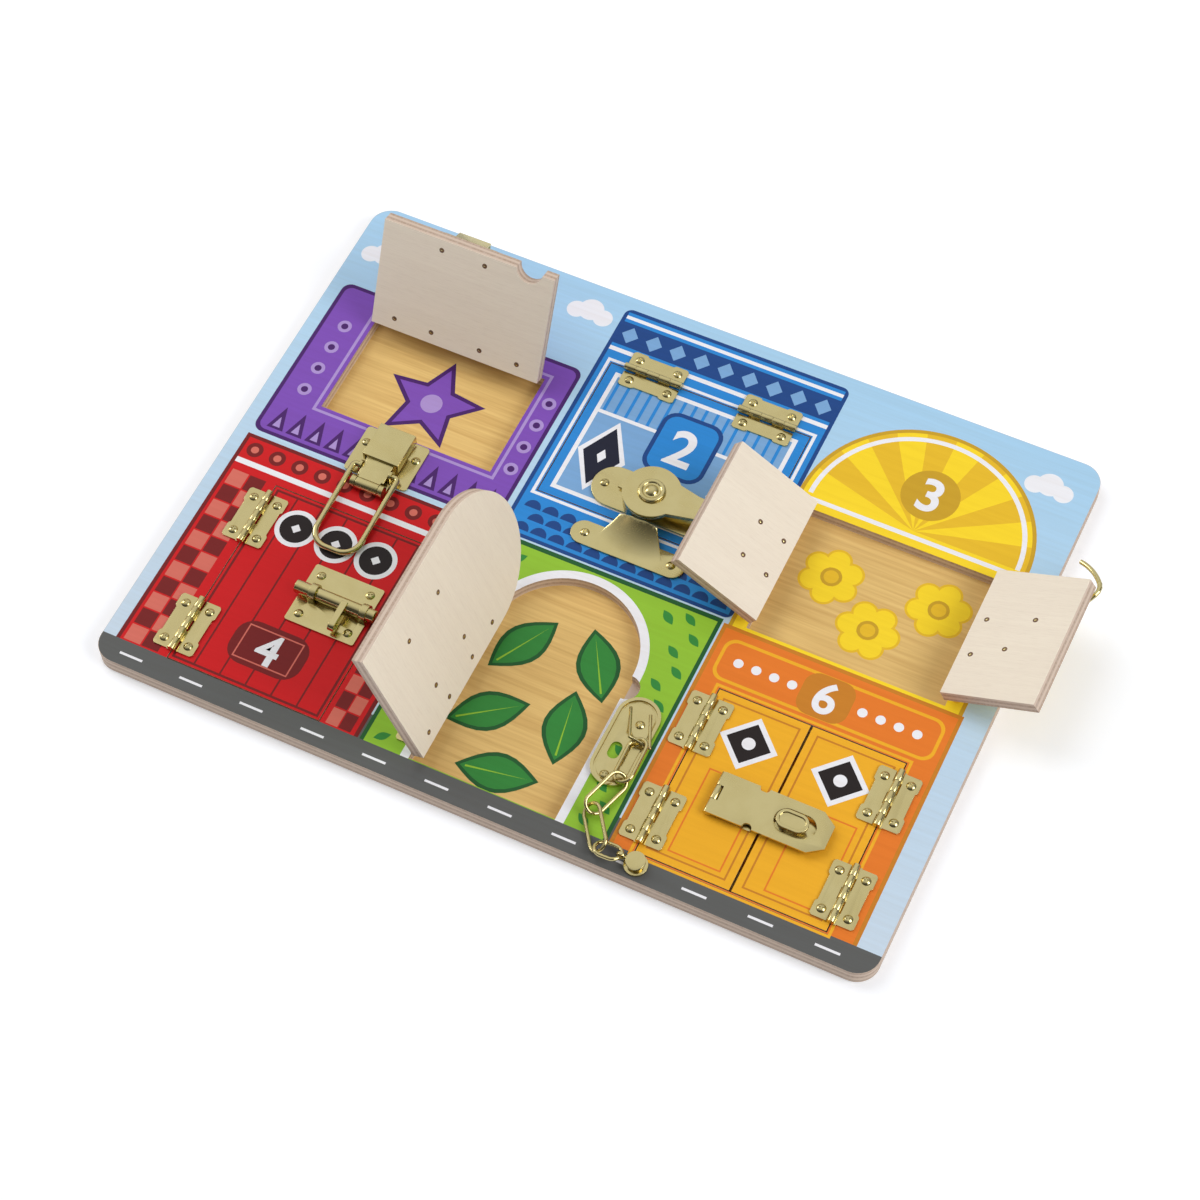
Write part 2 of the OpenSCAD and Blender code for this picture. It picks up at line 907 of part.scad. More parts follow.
// Cam: hub, round plate with a skirt, tongue that slips under the keeper, and the lever
module sash_cam() {
    low = top + sash_base_t + 1;
    tip = 5;
    color(brass)
        translate([sash_x, sash_y, 0])
            difference() {
                union() {
                    translate([0, 0, low])
                        cylinder(r = cam_hub, h = cam_z - low + join);
                    plate(cam_z, cam_t)
                        cam_outline(tip);
                    plate(low, 1.5)
                        sector(cam_tongue, 158, 18);
                    translate([0, 0, low + 1.1])
                        rotate([0, 0, 50])
                            rotate_extrude(angle = 200)
                                translate([cam_radius - 1.6, 0])
                                    square([1.4, cam_z - low - 1.1 + join]);
                    translate([cam_lever - tip, 0, cam_z + cam_t - join])
                        cylinder(r = tip - 1.4, h = 1.6);
                }
                cylinder(r = rivet_radius + run, h = top * 4);
            }
}

module cam_outline(tip) {
    circle(r = cam_radius);
    translate([cam_lever - tip, 0])
        circle(r = tip);
    polygon([[0, cam_radius - 3], [cam_lever - tip, tip], [cam_lever - tip, -tip], [0, -cam_radius + 3]]);
}

// Part of a disc, from angle first over the angle span
module sector(radius, first, span) {
    far = radius * 2;
    intersection() {
        circle(r = radius);
        polygon([
            [0, 0],
            [far * cos(first), far * sin(first)],
            [far * cos(first + span / 2), far * sin(first + span / 2)],
            [far * cos(first + span), far * sin(first + span)]
        ]);
    }
}

// Keeper of the sash lock: eared plate and a flared wall round the cam
module sash_keeper() {
    flare = keeper_low - keeper_high;
    high = cam_lift - pass - keeper_t;
    color(brass)
        difference() {
            union() {
                translate([sash_x, keeper_y, 0])
                    plate(top, keeper_t)
                        slotted(keeper_screws + 14, 13);
                translate([sash_x, sash_y, top])
                    rotate([0, 0, -90 - keeper_half_angle])
                        rotate_extrude(angle = 2 * keeper_half_angle)
                            polygon([
                                for (t = [0:0.1:1])
                                    [keeper_low - flare * t, keeper_t + high * pow(t, 1.6)],
                                for (t = [1:-0.1:0])
                                    [keeper_low - flare * t, high * pow(t, 1.6)]
                            ]);
            }
            for (x = [-1, 1])
                bore(sash_x + x * keeper_screws / 2, keeper_y);
            translate([sash_x - keeper_low, sash_edge - 0.1, top])
                cube([2 * keeper_low, keeper_low, 2 * cam_lift]);
        }
}

// Doors 3 and the hook and eye

module door_3_blank(side) {
    width = door_3_width / 2 - door_gap - pair_gap / 2;
    opening(door_3_x + side * (width + pair_gap) / 2, door_3_y, width, door_3_height - 2 * door_gap);
}

module door_3_left_panel() {
    color(wood)
        rest_3_left()
            difference() {
                plate(door_back, top - door_back)
                    door_3_blank(-1);
                hinges_3_left() hinge_bores(1);
                for (y = [-1, 1])
                    bore(eye_x, eye_y + y * hook_screw);
                translate([door_3_x - pair_gap / 2, door_3_y, 0])
                    edge_slope(door_3_height);
            }
}

module door_3_left_leaf() {
    color(brass)
        rest_3_left()
            hinges_3_left() door_leaf();
}

module door_3_left_screws() {
    color(brass)
        rest_3_left() {
            hinges_3_left() hinge_screws(1, door_low());
            for (y = [-1, 1])
                screw(eye_x, eye_y + y * hook_screw, top + leaf_thickness, door_low());
        }
}

// Plate with a standing wire ring that takes the hook
module hook_eye() {
    ring_z = top + leaf_thickness + eye_ring;
    color(brass)
        rest_3_left()
            difference() {
                union() {
                    translate([eye_x, eye_y, 0])
                        rotate([0, 0, 90])
                            plate(top, leaf_thickness)
                                slotted(2 * hook_screw + 7.4, 7.4);
                    translate([eye_x, eye_y, ring_z])
                        rotate([90, 0, 0])
                            bend(eye_ring, hook_wire, 360);
                }
                translate([eye_x, eye_y, 0])
                    cylinder(r = eye_ring * 3, h = top);
                for (y = [-1, 1])
                    bore(eye_x, eye_y + y * hook_screw);
            }
}

module door_3_right_panel() {
    color(wood)
        rest_3_right()
            difference() {
                plate(door_back, top - door_back)
                    door_3_blank(1);
                hinges_3_right() hinge_bores(1);
                at_hook() hook_bores();
                translate([door_3_x + pair_gap / 2, door_3_y, 0])
                    rotate([0, 0, 180])
                        edge_slope(door_3_height);
            }
}

module at_hook() {
    translate([hook_x, hook_y, 0])
        rotate([0, 0, hook_slant])
            children();
}

module hook_bores() {
    for (x = [-1, 1])
        bore(x * hook_screw, 0);
}

module door_3_right_leaf() {
    color(brass)
        rest_3_right()
            hinges_3_right() door_leaf();
}

module door_3_right_screws() {
    color(brass)
        rest_3_right() {
            hinges_3_right() hinge_screws(1, door_low());
            at_hook()
                for (x = [-1, 1])
                    screw(x * hook_screw, 0, top + leaf_thickness, door_low());
        }
}

// Plate with the headed post on which the hook turns
module hook_plate() {
    post = 1.6;
    color(brass)
        rest_3_right()
            at_hook()
                difference() {
                    union() {
                        plate(top, leaf_thickness)
                            slotted(2 * hook_screw + 7.4, 7.4);
                        translate([0, 0, top])
                            cylinder(r = 2.6, h = hook_z - top - hook_wire - 0.1);
                        translate([0, 0, top])
                            cylinder(r = post, h = hook_z - top + hook_wire + 0.2);
                        translate([0, 0, hook_z + hook_wire + 0.1])
                            cylinder(r = 2.8, h = 0.9);
                    }
                    hook_bores();
                }
}

// Wire hook: an eye round the post, a straight shank, a tight bend and a wide curve
module hook() {
    ring = hook_wire - 0.1;
    eye = 1.6 + run + ring;
    bead = hook_wire * 1.04;
    corner = 6;
    corner_parts = 3;
    corner_step = 22;
    end_sweep = 33;
    color(brass)
        rest_3_right()
            translate([hook_x, hook_y, hook_z])
                rotate([0, 0, hook_angle]) {
                    bend(eye, ring, 360);
                    translate([eye, 0, 0])
                        wire_x(hook_length - eye, hook_wire);
                    translate([hook_length, -corner, 0]) {
                        for (i = [0 : corner_parts])
                            rotate([0, 0, -i * corner_step])
                                translate([0, corner, 0])
                                    sphere(r = bead);
                        for (i = [0 : corner_parts - 1])
                            rotate([0, 0, -i * corner_step])
                                translate([0, corner, 0])
                                    rotate([0, 0, -corner_step / 2])
                                        wire_x(2 * corner * sin(corner_step / 2), hook_wire);
                        rotate([0, 0, -corner_parts * corner_step])
                            translate([0, corner - hook_curve, 0])
                                rotate([0, 0, 90 - end_sweep])
                                    bend(hook_curve, hook_wire, end_sweep);
                    }
                }
}

// Door 4 and the slide bolt

module door_4_panel() {
    color(wood)
        difference() {
            plate(door_back, top - door_back)
                door_blank(door_4_x, door_4_y, door_4_width, door_4_height);
            hinges_4() hinge_bores(1);
            at_bolt_screws() bore(0, 0);
        }
}

module at_bolt_screws() {
    for (x = [-1, 1], y = [-1, 1])
        translate([
            bolt_plate_x + x * (bolt_plate_length / 2 - 5.2),
            bolt_y + y * (bolt_plate_width / 2 - 5.2),
            0
        ])
            children();
}

module door_4_leaves() {
    color(brass)
        hinges_4() door_leaf();
}

module door_4_screws() {
    color(brass) {
        hinges_4() hinge_screws(1, door_low());
        at_bolt_screws() screw(0, 0, top + bolt_shell, door_low());
    }
}

// Strap that guides the rod, standing on the face of a plate
module bolt_guide(length) {
    inner = bolt_radius + 0.1;
    outer = inner + bolt_shell;
    difference() {
        union() {
            translate([0, 0, bolt_z])
                wire_x(length, outer);
            translate([0, -outer, top])
                cube([length, 2 * outer, bolt_z - top]);
        }
        translate([-cut, 0, bolt_z])
            wire_x(length + 2 * cut, inner);
        translate([-cut, -inner, top - cut])
            cube([length + 2 * cut, 2 * inner, bolt_z - top + cut]);
    }
}

module bolt_plate() {
    color(brass)
        difference() {
            union() {
                translate([bolt_plate_x, bolt_y, 0])
                    plate(top, bolt_shell)
                        rounded_square(bolt_plate_length, bolt_plate_width, 1.2);
                translate([bolt_plate_x - bolt_plate_length / 2 + 6.2, bolt_y, 0])
                    bolt_guide(bolt_strap);
                translate([bolt_plate_x + bolt_plate_length / 2 - bolt_strap, bolt_y, 0])
                    bolt_guide(bolt_strap);
            }
            at_bolt_screws() bore(0, 0);
        }
}

// Rod with its flag handle
module slide_bolt() {
    handle = 13;
    handle_t = 3.2;
    handle_end = 2.6;
    color(brass) {
        translate([bolt_tip - bolt_length, bolt_y, bolt_z])
            wire_x(bolt_length, bolt_radius);
        translate([bolt_handle_x - handle_t / 2, bolt_y - handle, bolt_z + 1.2 - handle_end])
            cube([handle_t, handle, 2 * handle_end]);
        translate([bolt_handle_x - handle_t / 2, bolt_y - handle, bolt_z + 1.2])
            wire_x(handle_t, handle_end);
    }
}

function bolt_keeper_x() = door_4_edge + door_gap + 5;
function bolt_keeper_screw() = bolt_radius + bolt_shell + screw_head + 2;

// Keeper on the frame that takes the end of the rod
module bolt_keeper() {
    wide = 7;
    color(brass)
        difference() {
            union() {
                translate([bolt_keeper_x(), bolt_y, 0])
                    plate(top, bolt_shell)
                        rounded_square(wide, 2 * bolt_keeper_screw() + 7, 1.2);
                translate([bolt_keeper_x() - wide / 2, bolt_y, 0])
                    bolt_guide(wide);
            }
            for (y = [-1, 1])
                bore(bolt_keeper_x(), bolt_y + y * bolt_keeper_screw());
        }
}

// Door 5 and the door chain

module door_5_panel() {
    color(wood)
        rest_5()
            difference() {
                plate(door_back, top - door_back)
                    outline_5(door_gap);
                hinges_5() hinge_bores(1);
                at_track_screws() bore(0, 0);
            }
}

module at_track_screws() {
    for (x = [-1, 1], y = [-1, 1])
        translate([track_x + x * track_screw_x, track_y + y * track_screw_y, 0])
            children();
}

module door_5_leaves() {
    color(brass)
        rest_5()
            hinges_5() door_leaf();
}

module door_5_screws() {
    color(brass)
        rest_5() {
            hinges_5() hinge_screws(1, door_low());
            at_track_screws() screw(0, 0, top + leaf_thickness, door_low());
        }
}

// Track on the door: a plate with a raised slotted rail for the button of the chain
module chain_track() {
    rail = 4.4;
    color(brass)
        rest_5()
            difference() {
                union() {
                    translate([track_x, track_y, 0])
                        plate(top, leaf_thickness)
                            rounded_square(2 * track_screw_x + 9, 2 * track_screw_y + 9, 3);
                    translate([track_x, track_y, 0])
                        plate(top, rail)
                            slotted(2 * track_screw_x + 5, 15);
                }
                translate([track_x, track_y, 0])
                    plate(top + leaf_thickness, rail)
                        slotted(2 * track_screw_x - 1, 6.4);
                translate([track_x, track_y, 0])
                    plate(top + leaf_thickness, rail - leaf_thickness - 1.2)
                        slotted(2 * track_screw_x + 1.4, 11.6);
                translate([track_x + track_screw_x - 5.6, track_y, top + leaf_thickness])
                    cylinder(r = 5.6, h = rail);
                at_track_screws() bore(0, 0);
            }
}

function anchor_floor() = 1.5;

// Anchor plate on the frame: a plate with a raised rim, a groove inside it, and the bow for the chain
module chain_anchor() {
    rim = 1.6;
    rim_high = 2.2;
    groove = 1;
    color(brass)
        difference() {
            union() {
                translate([anchor_x, anchor_y, 0])
                    rotate([0, 0, 90])
                        plate(top, rim_high)
                            difference() {
                                slotted(anchor_length, anchor_width);
                                slotted(anchor_length - 2 * rim, anchor_width - 2 * rim);
                            }
                translate([anchor_x, anchor_y, 0])
                    rotate([0, 0, 90])
                        plate(top, 0.7)
                            slotted(anchor_length - rim, anchor_width - rim);
                translate([anchor_x, anchor_y, 0])
                    rotate([0, 0, 90])
                        plate(top, anchor_floor())
                            slotted(anchor_length - 2 * (rim + groove), anchor_width - 2 * (rim + groove));
                chain_bow();
            }
            for (p = anchor_screws)
                bore(p[0], p[1]);
            translate([anchor_x - 2.6, anchor_y - 6, 0])
                rotate([0, 0, 90])
                    plate(0, top * 3)
                        slotted(9, 5.6);
        }
}

// Wire bow, leaning over on its feet: a bar for the first link and two arms down to the plate
module chain_bow() {
    translate([chain_x, chain_y, chain_z])
        rotate([0, bow_tilt, 0]) {
            translate([-bow_half, 0, 0])
                wire_x(2 * bow_half, bow_wire);
            for (side = [-1, 1])
                translate([side * bow_half, 0, 0])
                    sphere(r = bow_wire * 1.03);
        }
    for (side = [-1, 1]) {
        rise = -side * bow_half * sin(bow_tilt);
        drop = chain_z + rise - top - anchor_floor();
        arm = norm([bow_lean, bow_back, drop]);
        translate([chain_x + side * bow_half * cos(bow_tilt), chain_y, chain_z + rise])
            rotate([0, 90 + asin(drop / arm), atan2(bow_back, -bow_lean)])
                cylinder(r = bow_wire, h = arm);
    }
}

// A long oval link of round wire between two joints, lying along X from the first
module wire_link(pitch, roll) {
    first = link_half - link_slack;
    last = pitch - link_half + link_slack;
    rotate([roll, 0, 0]) {
        for (y = [-1, 1])
            translate([first, y * link_half, 0])
                wire_x(last - first, link_wire);
        translate([first, 0, 0])
            rotate([0, 0, 90])
                bend(link_half, link_wire, 180);
        translate([last, 0, 0])
            rotate([0, 0, -90])
                bend(link_half, link_wire, 180);
    }
}

module link_at(joint, turn, roll, pitch) {
    color(brass)
        translate([joint[0], joint[1], chain_z])
            rotate([0, 0, turn])
                wire_link(pitch, roll);
}

module chain_link_1() {
    link_at(joint_1, link_turns[0], link_rolls[0], link_pitch);
}

module chain_link_2() {
    link_at(joint_2, link_turns[1], link_rolls[1], link_pitch);
}

module chain_link_3() {
    link_at(joint_3, link_turns[2], link_rolls[2], link_pitch);
}

module chain_link_4() {
    link_at(joint_4, link_turns[3], link_rolls[3], last_pitch);
}

// Button on the end of the chain: a stepped spool with an eyed tongue round the last link
module chain_button() {
    spool = 5.6;
    eye = 1.5;
    reach = 7;
    color(brass)
        translate([joint_4[0], joint_4[1], 0])
            rotate([0, 0, link_turns[3]])
                translate([last_pitch + link_slack, 0, 0]) {
                    translate([reach, 0, top + 0.1])
                        cylinder(r = spool, h = 1.4);
                    translate([reach, 0, top + 0.1])
                        cylinder(r = spool * 0.5, h = 4.9);
                    translate([reach, 0, top + 4.2])
                        cylinder(r = spool * 0.82, h = 1.4);
                    difference() {
                        union() {
                            translate([0, -0.7, chain_z - 1.2])
                                cube([reach, 1.4, 2]);
                            translate([0, 0.7, chain_z])
                                rotate([90, 0, 0])
                                    cylinder(r = eye + 0.9, h = 1.4);
                        }
                        translate([0, cut, chain_z])
                            rotate([90, 0, 0])
                                cylinder(r = eye, h = 2 * cut);
                    }
                }
}

// Doors 6 and the turn-button hasp

module door_6_blank(side) {
    width = door_6_width / 2 - door_gap - pair_gap / 2;
    opening(door_6_x + side * (width + pair_gap) / 2, door_6_y, width, door_6_height - 2 * door_gap);
}

module at_hasp_screws() {
    for (y = [-1, 1])
        translate([hasp_x + 15, hasp_y + y * strap_width * 0.29, 0])
            children();
}

module at_staple_screws() {
    for (x = [-9.4, 13.6])
        translate([button_x + x, button_y, 0])
            children();
}

module door_6_left_panel() {
    color(wood)
        difference() {
            plate(door_back, top - door_back)
                door_6_blank(-1);
            hinges_6_left() hinge_bores(1);
            at_hasp_screws() bore(0, 0);
            translate([door_6_x - pair_gap / 2, door_6_y, 0])
                edge_slope(door_6_height);
        }
}

module door_6_left_leaves() {
    color(brass)
        hinges_6_left() door_leaf();
}

module door_6_left_screws() {
    color(brass) {
        hinges_6_left() hinge_screws(1, door_low());
        at_hasp_screws() screw(0, 0, top + hasp_plate_t, door_low());
    }
}

// Plate under the strap with the middle knuckle of the hasp
module hasp_plate() {
    long = 20.4;
    middle = strap_width / 3 - pass;
    color(brass)
        difference() {
            union() {
                translate([hasp_x + long / 2 + 2.4, hasp_y, 0])
                    plate(top, hasp_plate_t)
                        rounded_square(long - 2, strap_width - 1, 1.5);
                translate([hasp_x, hasp_y - middle / 2, top])
                    cube([5, middle, hasp_plate_t]);
                translate([hasp_x, hasp_y + middle / 2, hasp_axis_z])
                    rotate([90, 0, 0])
                        cylinder(r = hasp_knuckle, h = middle);
            }
            hasp_bore();
            at_hasp_screws() bore(0, 0);
        }
}

module hasp_bore() {
    translate([hasp_x, hasp_y, hasp_axis_z])
        rotate([90, 0, 0])
            cylinder(r = hasp_pin_radius + run, h = strap_width * 2, center = true);
}

module hasp_pin() {
    color(brass)
        translate([hasp_x, hasp_y, hasp_axis_z])
            rotate([90, 0, 0])
                cylinder(r = hasp_pin_radius, h = strap_width, center = true);
}

// Strap over both doors: outer knuckles, waist notches, slot for the button, cut-off corners
module hasp_strap() {
    color(brass)
        difference() {
            union() {
                plate(top + strap_lift, strap_t)
                    strap_outline();
                for (side = [-1, 1])
                    translate([hasp_x, hasp_y + side * strap_width / 3, hasp_axis_z])
                        rotate([90, 0, 0])
                            cylinder(r = hasp_knuckle, h = strap_width / 3 - pass, center = true);
            }
            hasp_bore();
        }
}

module strap_outline() {
    half = strap_width / 2;
    tip = hasp_x + strap_length;
    clear = hasp_knuckle + pass;
    difference() {
        polygon([
            [hasp_x, hasp_y - half],
            [tip - 7, hasp_y - half],
            [tip, hasp_y - half * 0.55],
            [tip, hasp_y + half * 0.55],
            [tip - 7, hasp_y + half],
            [hasp_x, hasp_y + half]
        ]);
        opening(hasp_x, hasp_y, 2 * clear, strap_width / 3 + pass);
        for (side = [-1, 1])
            translate([hasp_x + 19.6, hasp_y + side * half])
                circle(r = 2.4);
        translate([button_x + (slot_right - slot_left) / 2, button_y])
            slotted(slot_left + slot_right, 2 * slot_half);
    }
}

module door_6_right_panel() {
    color(wood)
        difference() {
            plate(door_back, top - door_back)
                door_6_blank(1);
            hinges_6_right() hinge_bores(1);
            at_staple_screws() bore(0, 0);
            translate([door_6_x + pair_gap / 2, door_6_y, 0])
                rotate([0, 0, 180])
                    edge_slope(door_6_height);
        }
}

module door_6_right_leaves() {
    color(brass)
        hinges_6_right() door_leaf();
}

module door_6_right_screws() {
    color(brass) {
        hinges_6_right() hinge_screws(1, door_low());
        at_staple_screws() screw(0, 0, top + hasp_plate_t, door_low());
    }
}

// Plate under the strap with the post on which the button turns
module staple_plate() {
    color(brass)
        difference() {
            union() {
                translate([button_x + 2, button_y, 0])
                    plate(top, hasp_plate_t)
                        slotted(30, 14);
                translate([button_x, button_y, top])
                    cylinder(r = button_neck * 0.5, h = strap_lift + strap_t + pass + 0.4);
            }
            at_staple_screws() bore(0, 0);
        }
}

// Turn button: a round neck in the slot of the strap and an oval rimmed head above it
module turn_button() {
    low = top + hasp_plate_t + 0.1;
    head = strap_top + pass;
    high = 1.7;
    color(brass)
        translate([button_x, button_y, 0])
            difference() {
                union() {
                    translate([0, 0, low])
                        cylinder(r = button_neck, h = head - low + join);
                    plate(head, high)
                        slotted(button_length, button_width);
                }
                plate(head + 0.8, high)
                    slotted(button_length - 3, button_width - 3);
                cylinder(r = button_neck * 0.5 + run, h = head + 0.45);
            }
}

base_panel();
frame_panel();
frame_leaves();
hinge_pins();
frame_screws();
door_1_panel();
door_1_leaves();
door_1_screws();
draw_catch();
draw_base();
draw_pin();
draw_lever();
draw_loop();
door_2_panel();
door_2_leaves();
door_2_screws();
sash_base();
sash_rivet();
sash_cam();
sash_keeper();
door_3_left_panel();
door_3_left_leaf();
door_3_left_screws();
hook_eye();
door_3_right_panel();
door_3_right_leaf();
door_3_right_screws();
hook_plate();
hook();
door_4_panel();
door_4_leaves();
door_4_screws();
bolt_plate();
slide_bolt();
bolt_keeper();
door_5_panel();
door_5_leaves();
door_5_screws();
chain_track();
chain_anchor();
chain_link_1();
chain_link_2();
chain_link_3();
chain_link_4();
chain_button();
door_6_left_panel();
door_6_left_leaves();
door_6_left_screws();
hasp_plate();
hasp_pin();
hasp_strap();
door_6_right_panel();
door_6_right_leaves();
door_6_right_screws();
staple_plate();
turn_button();
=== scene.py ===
import json
import math

import bmesh
import bpy
from mathutils import Matrix, Vector


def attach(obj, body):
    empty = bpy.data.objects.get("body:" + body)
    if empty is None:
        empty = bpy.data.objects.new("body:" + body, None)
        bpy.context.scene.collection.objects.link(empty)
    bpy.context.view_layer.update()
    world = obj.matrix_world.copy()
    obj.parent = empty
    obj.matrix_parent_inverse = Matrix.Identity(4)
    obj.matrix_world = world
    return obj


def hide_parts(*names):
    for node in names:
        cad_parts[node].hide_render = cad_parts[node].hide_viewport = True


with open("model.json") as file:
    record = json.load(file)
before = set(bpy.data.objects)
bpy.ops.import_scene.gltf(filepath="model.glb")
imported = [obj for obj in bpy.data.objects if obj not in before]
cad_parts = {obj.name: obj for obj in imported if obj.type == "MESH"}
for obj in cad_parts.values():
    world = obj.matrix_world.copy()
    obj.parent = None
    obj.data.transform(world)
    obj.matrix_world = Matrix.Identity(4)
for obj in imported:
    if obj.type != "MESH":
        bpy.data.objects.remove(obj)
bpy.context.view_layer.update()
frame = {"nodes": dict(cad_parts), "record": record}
nodes = frame["nodes"]

# Backing panel: thin birch plywood, sawn square and glued under the front panel.
# Its face is the floor of the six recesses. The plies show as fine lines along its edges.
# Shapes are written in millimetres, and MM turns them into metres.
MM = 0.001
VENEER = 0.1 * MM
TOP = 9.0
BASE_TOP = 2.6


def shader_group(name, inputs, outputs):
    tree = bpy.data.node_groups.new(name, "ShaderNodeTree")
    for label, kind, value in inputs:
        socket = tree.interface.new_socket(name=label, in_out="INPUT", socket_type=kind)
        socket.default_value = value
    for label, kind in outputs:
        tree.interface.new_socket(name=label, in_out="OUTPUT", socket_type=kind)
    return tree, tree.nodes.new("NodeGroupInput"), tree.nodes.new("NodeGroupOutput")


def math_node(tree, operation, first, second):
    node = tree.nodes.new("ShaderNodeMath")
    node.operation = operation
    for socket, value in zip(node.inputs, (first, second)):
        if isinstance(value, (int, float)):
            socket.default_value = value
        else:
            tree.links.new(value, socket)
    return node.outputs[0]


def mix_colour(tree, factor, first, second):
    node = tree.nodes.new("ShaderNodeMix")
    node.data_type = "RGBA"
    tree.links.new(factor, node.inputs["Factor"])
    for socket, value in ((node.inputs[6], first), (node.inputs[7], second)):
        if isinstance(value, tuple):
            socket.default_value = value
        else:
            tree.links.new(value, socket)
    return node.outputs[2]


def stretched_noise(tree, vector, scale, detail):
    spread = tree.nodes.new("ShaderNodeVectorMath")
    spread.operation = "MULTIPLY"
    tree.links.new(vector, spread.inputs[0])
    spread.inputs[1].default_value = scale
    noise = tree.nodes.new("ShaderNodeTexNoise")
    noise.inputs["Scale"].default_value = 1.0
    noise.inputs["Detail"].default_value = detail
    noise.inputs["Roughness"].default_value = 0.6
    tree.links.new(spread.outputs[0], noise.inputs["Vector"])
    return noise.outputs["Fac"]


def ramp(tree, value, low, high):
    node = tree.nodes.new("ShaderNodeMapRange")
    node.inputs["From Min"].default_value = low
    node.inputs["From Max"].default_value = high
    tree.links.new(value, node.inputs["Value"])
    return node.outputs["Result"]


def linear(red, green, blue):
    parts = [c / 255 for c in (red, green, blue)]
    return tuple(c / 12.92 if c <= 0.04045 else ((c + 0.055) / 1.055) ** 2.4 for c in parts) + (1.0,)


grain_tree, grain_in, grain_out = shader_group(
    "birch_grain",
    [("Vector", "NodeSocketVector", (0, 0, 0))],
    [("Streak", "NodeSocketFloat"), ("Cloud", "NodeSocketFloat"), ("Pore", "NodeSocketFloat")],
)
streak = stretched_noise(grain_tree, grain_in.outputs["Vector"], scale=(16, 520, 520), detail=3)
cloud = stretched_noise(grain_tree, grain_in.outputs["Vector"], scale=(9, 42, 42), detail=2)
pore = stretched_noise(grain_tree, grain_in.outputs["Vector"], scale=(160, 2600, 2600), detail=2)
grain_tree.links.new(ramp(grain_tree, streak, low=0.34, high=0.7), grain_out.inputs["Streak"])
grain_tree.links.new(ramp(grain_tree, cloud, low=0.3, high=0.7), grain_out.inputs["Cloud"])
grain_tree.links.new(ramp(grain_tree, pore, low=0.52, high=0.74), grain_out.inputs["Pore"])

STREAK_TINT, CLOUD_TINT, SPECK_TINT, PORE_TINT = 0.09, 0.08, 0.5, 0.1
END_GRAIN, PORE_BROWN = linear(150, 116, 84), linear(150, 112, 76)
WOOD_ROUGH, STREAK_ROUGH = 0.52, 0.12
SEAM = 0.02 * MM

ply_tree, ply_in, ply_out = shader_group(
    "birch_plies",
    [
        ("Vector", "NodeSocketVector", (0, 0, 0)),
        ("Back", "NodeSocketFloat", 0.0),
        ("Ply", "NodeSocketFloat", 0.0012),
        ("Face", "NodeSocketColor", (1, 1, 1, 1)),
        ("Edge", "NodeSocketColor", (1, 1, 1, 1)),
        ("Core", "NodeSocketColor", (1, 1, 1, 1)),
    ],
    [("Color", "NodeSocketColor"), ("Roughness", "NodeSocketFloat"), ("Height", "NodeSocketFloat")],
)
split = ply_tree.nodes.new("ShaderNodeSeparateXYZ")
ply_tree.links.new(ply_in.outputs["Vector"], split.inputs[0])
grain = ply_tree.nodes.new("ShaderNodeGroup")
grain.node_tree = grain_tree
ply_tree.links.new(ply_in.outputs["Vector"], grain.inputs["Vector"])
depth = math_node(ply_tree, "SUBTRACT", split.outputs[2], ply_in.outputs["Back"])
layer = math_node(ply_tree, "DIVIDE", math_node(ply_tree, "ADD", depth, SEAM), ply_in.outputs["Ply"])
core = math_node(ply_tree, "GREATER_THAN", math_node(ply_tree, "MODULO", layer, 2.0), 1.0)
speck = stretched_noise(ply_tree, ply_in.outputs["Vector"], scale=(900, 900, 500), detail=2)
speck = ramp(ply_tree, speck, low=0.35, high=0.7)
face = ply_in.outputs["Face"]
for mark, tint in (("Streak", STREAK_TINT), ("Cloud", CLOUD_TINT)):
    amount = math_node(ply_tree, "MULTIPLY", grain.outputs[mark], tint)
    face = mix_colour(ply_tree, amount, face, ply_in.outputs["Core"])
amount = math_node(ply_tree, "MULTIPLY", speck, SPECK_TINT)
end = mix_colour(ply_tree, amount, ply_in.outputs["Core"], END_GRAIN)
wood_colour = mix_colour(ply_tree, core, ply_in.outputs["Edge"], end)
wood_colour = mix_colour(ply_tree, math_node(ply_tree, "LESS_THAN", depth, VENEER), wood_colour, face)
wood_colour = mix_colour(
    ply_tree, math_node(ply_tree, "MULTIPLY", grain.outputs["Pore"], PORE_TINT), wood_colour, PORE_BROWN
)
ply_tree.links.new(wood_colour, ply_out.inputs["Color"])
amount = math_node(ply_tree, "MULTIPLY", grain.outputs["Streak"], STREAK_ROUGH)
ply_tree.links.new(math_node(ply_tree, "ADD", amount, WOOD_ROUGH), ply_out.inputs["Roughness"])
ply_tree.links.new(
    math_node(ply_tree, "ADD", math_node(ply_tree, "MULTIPLY", speck, core), grain.outputs["Pore"]),
    ply_out.inputs["Height"],
)

RELIEF = 0.06 * MM


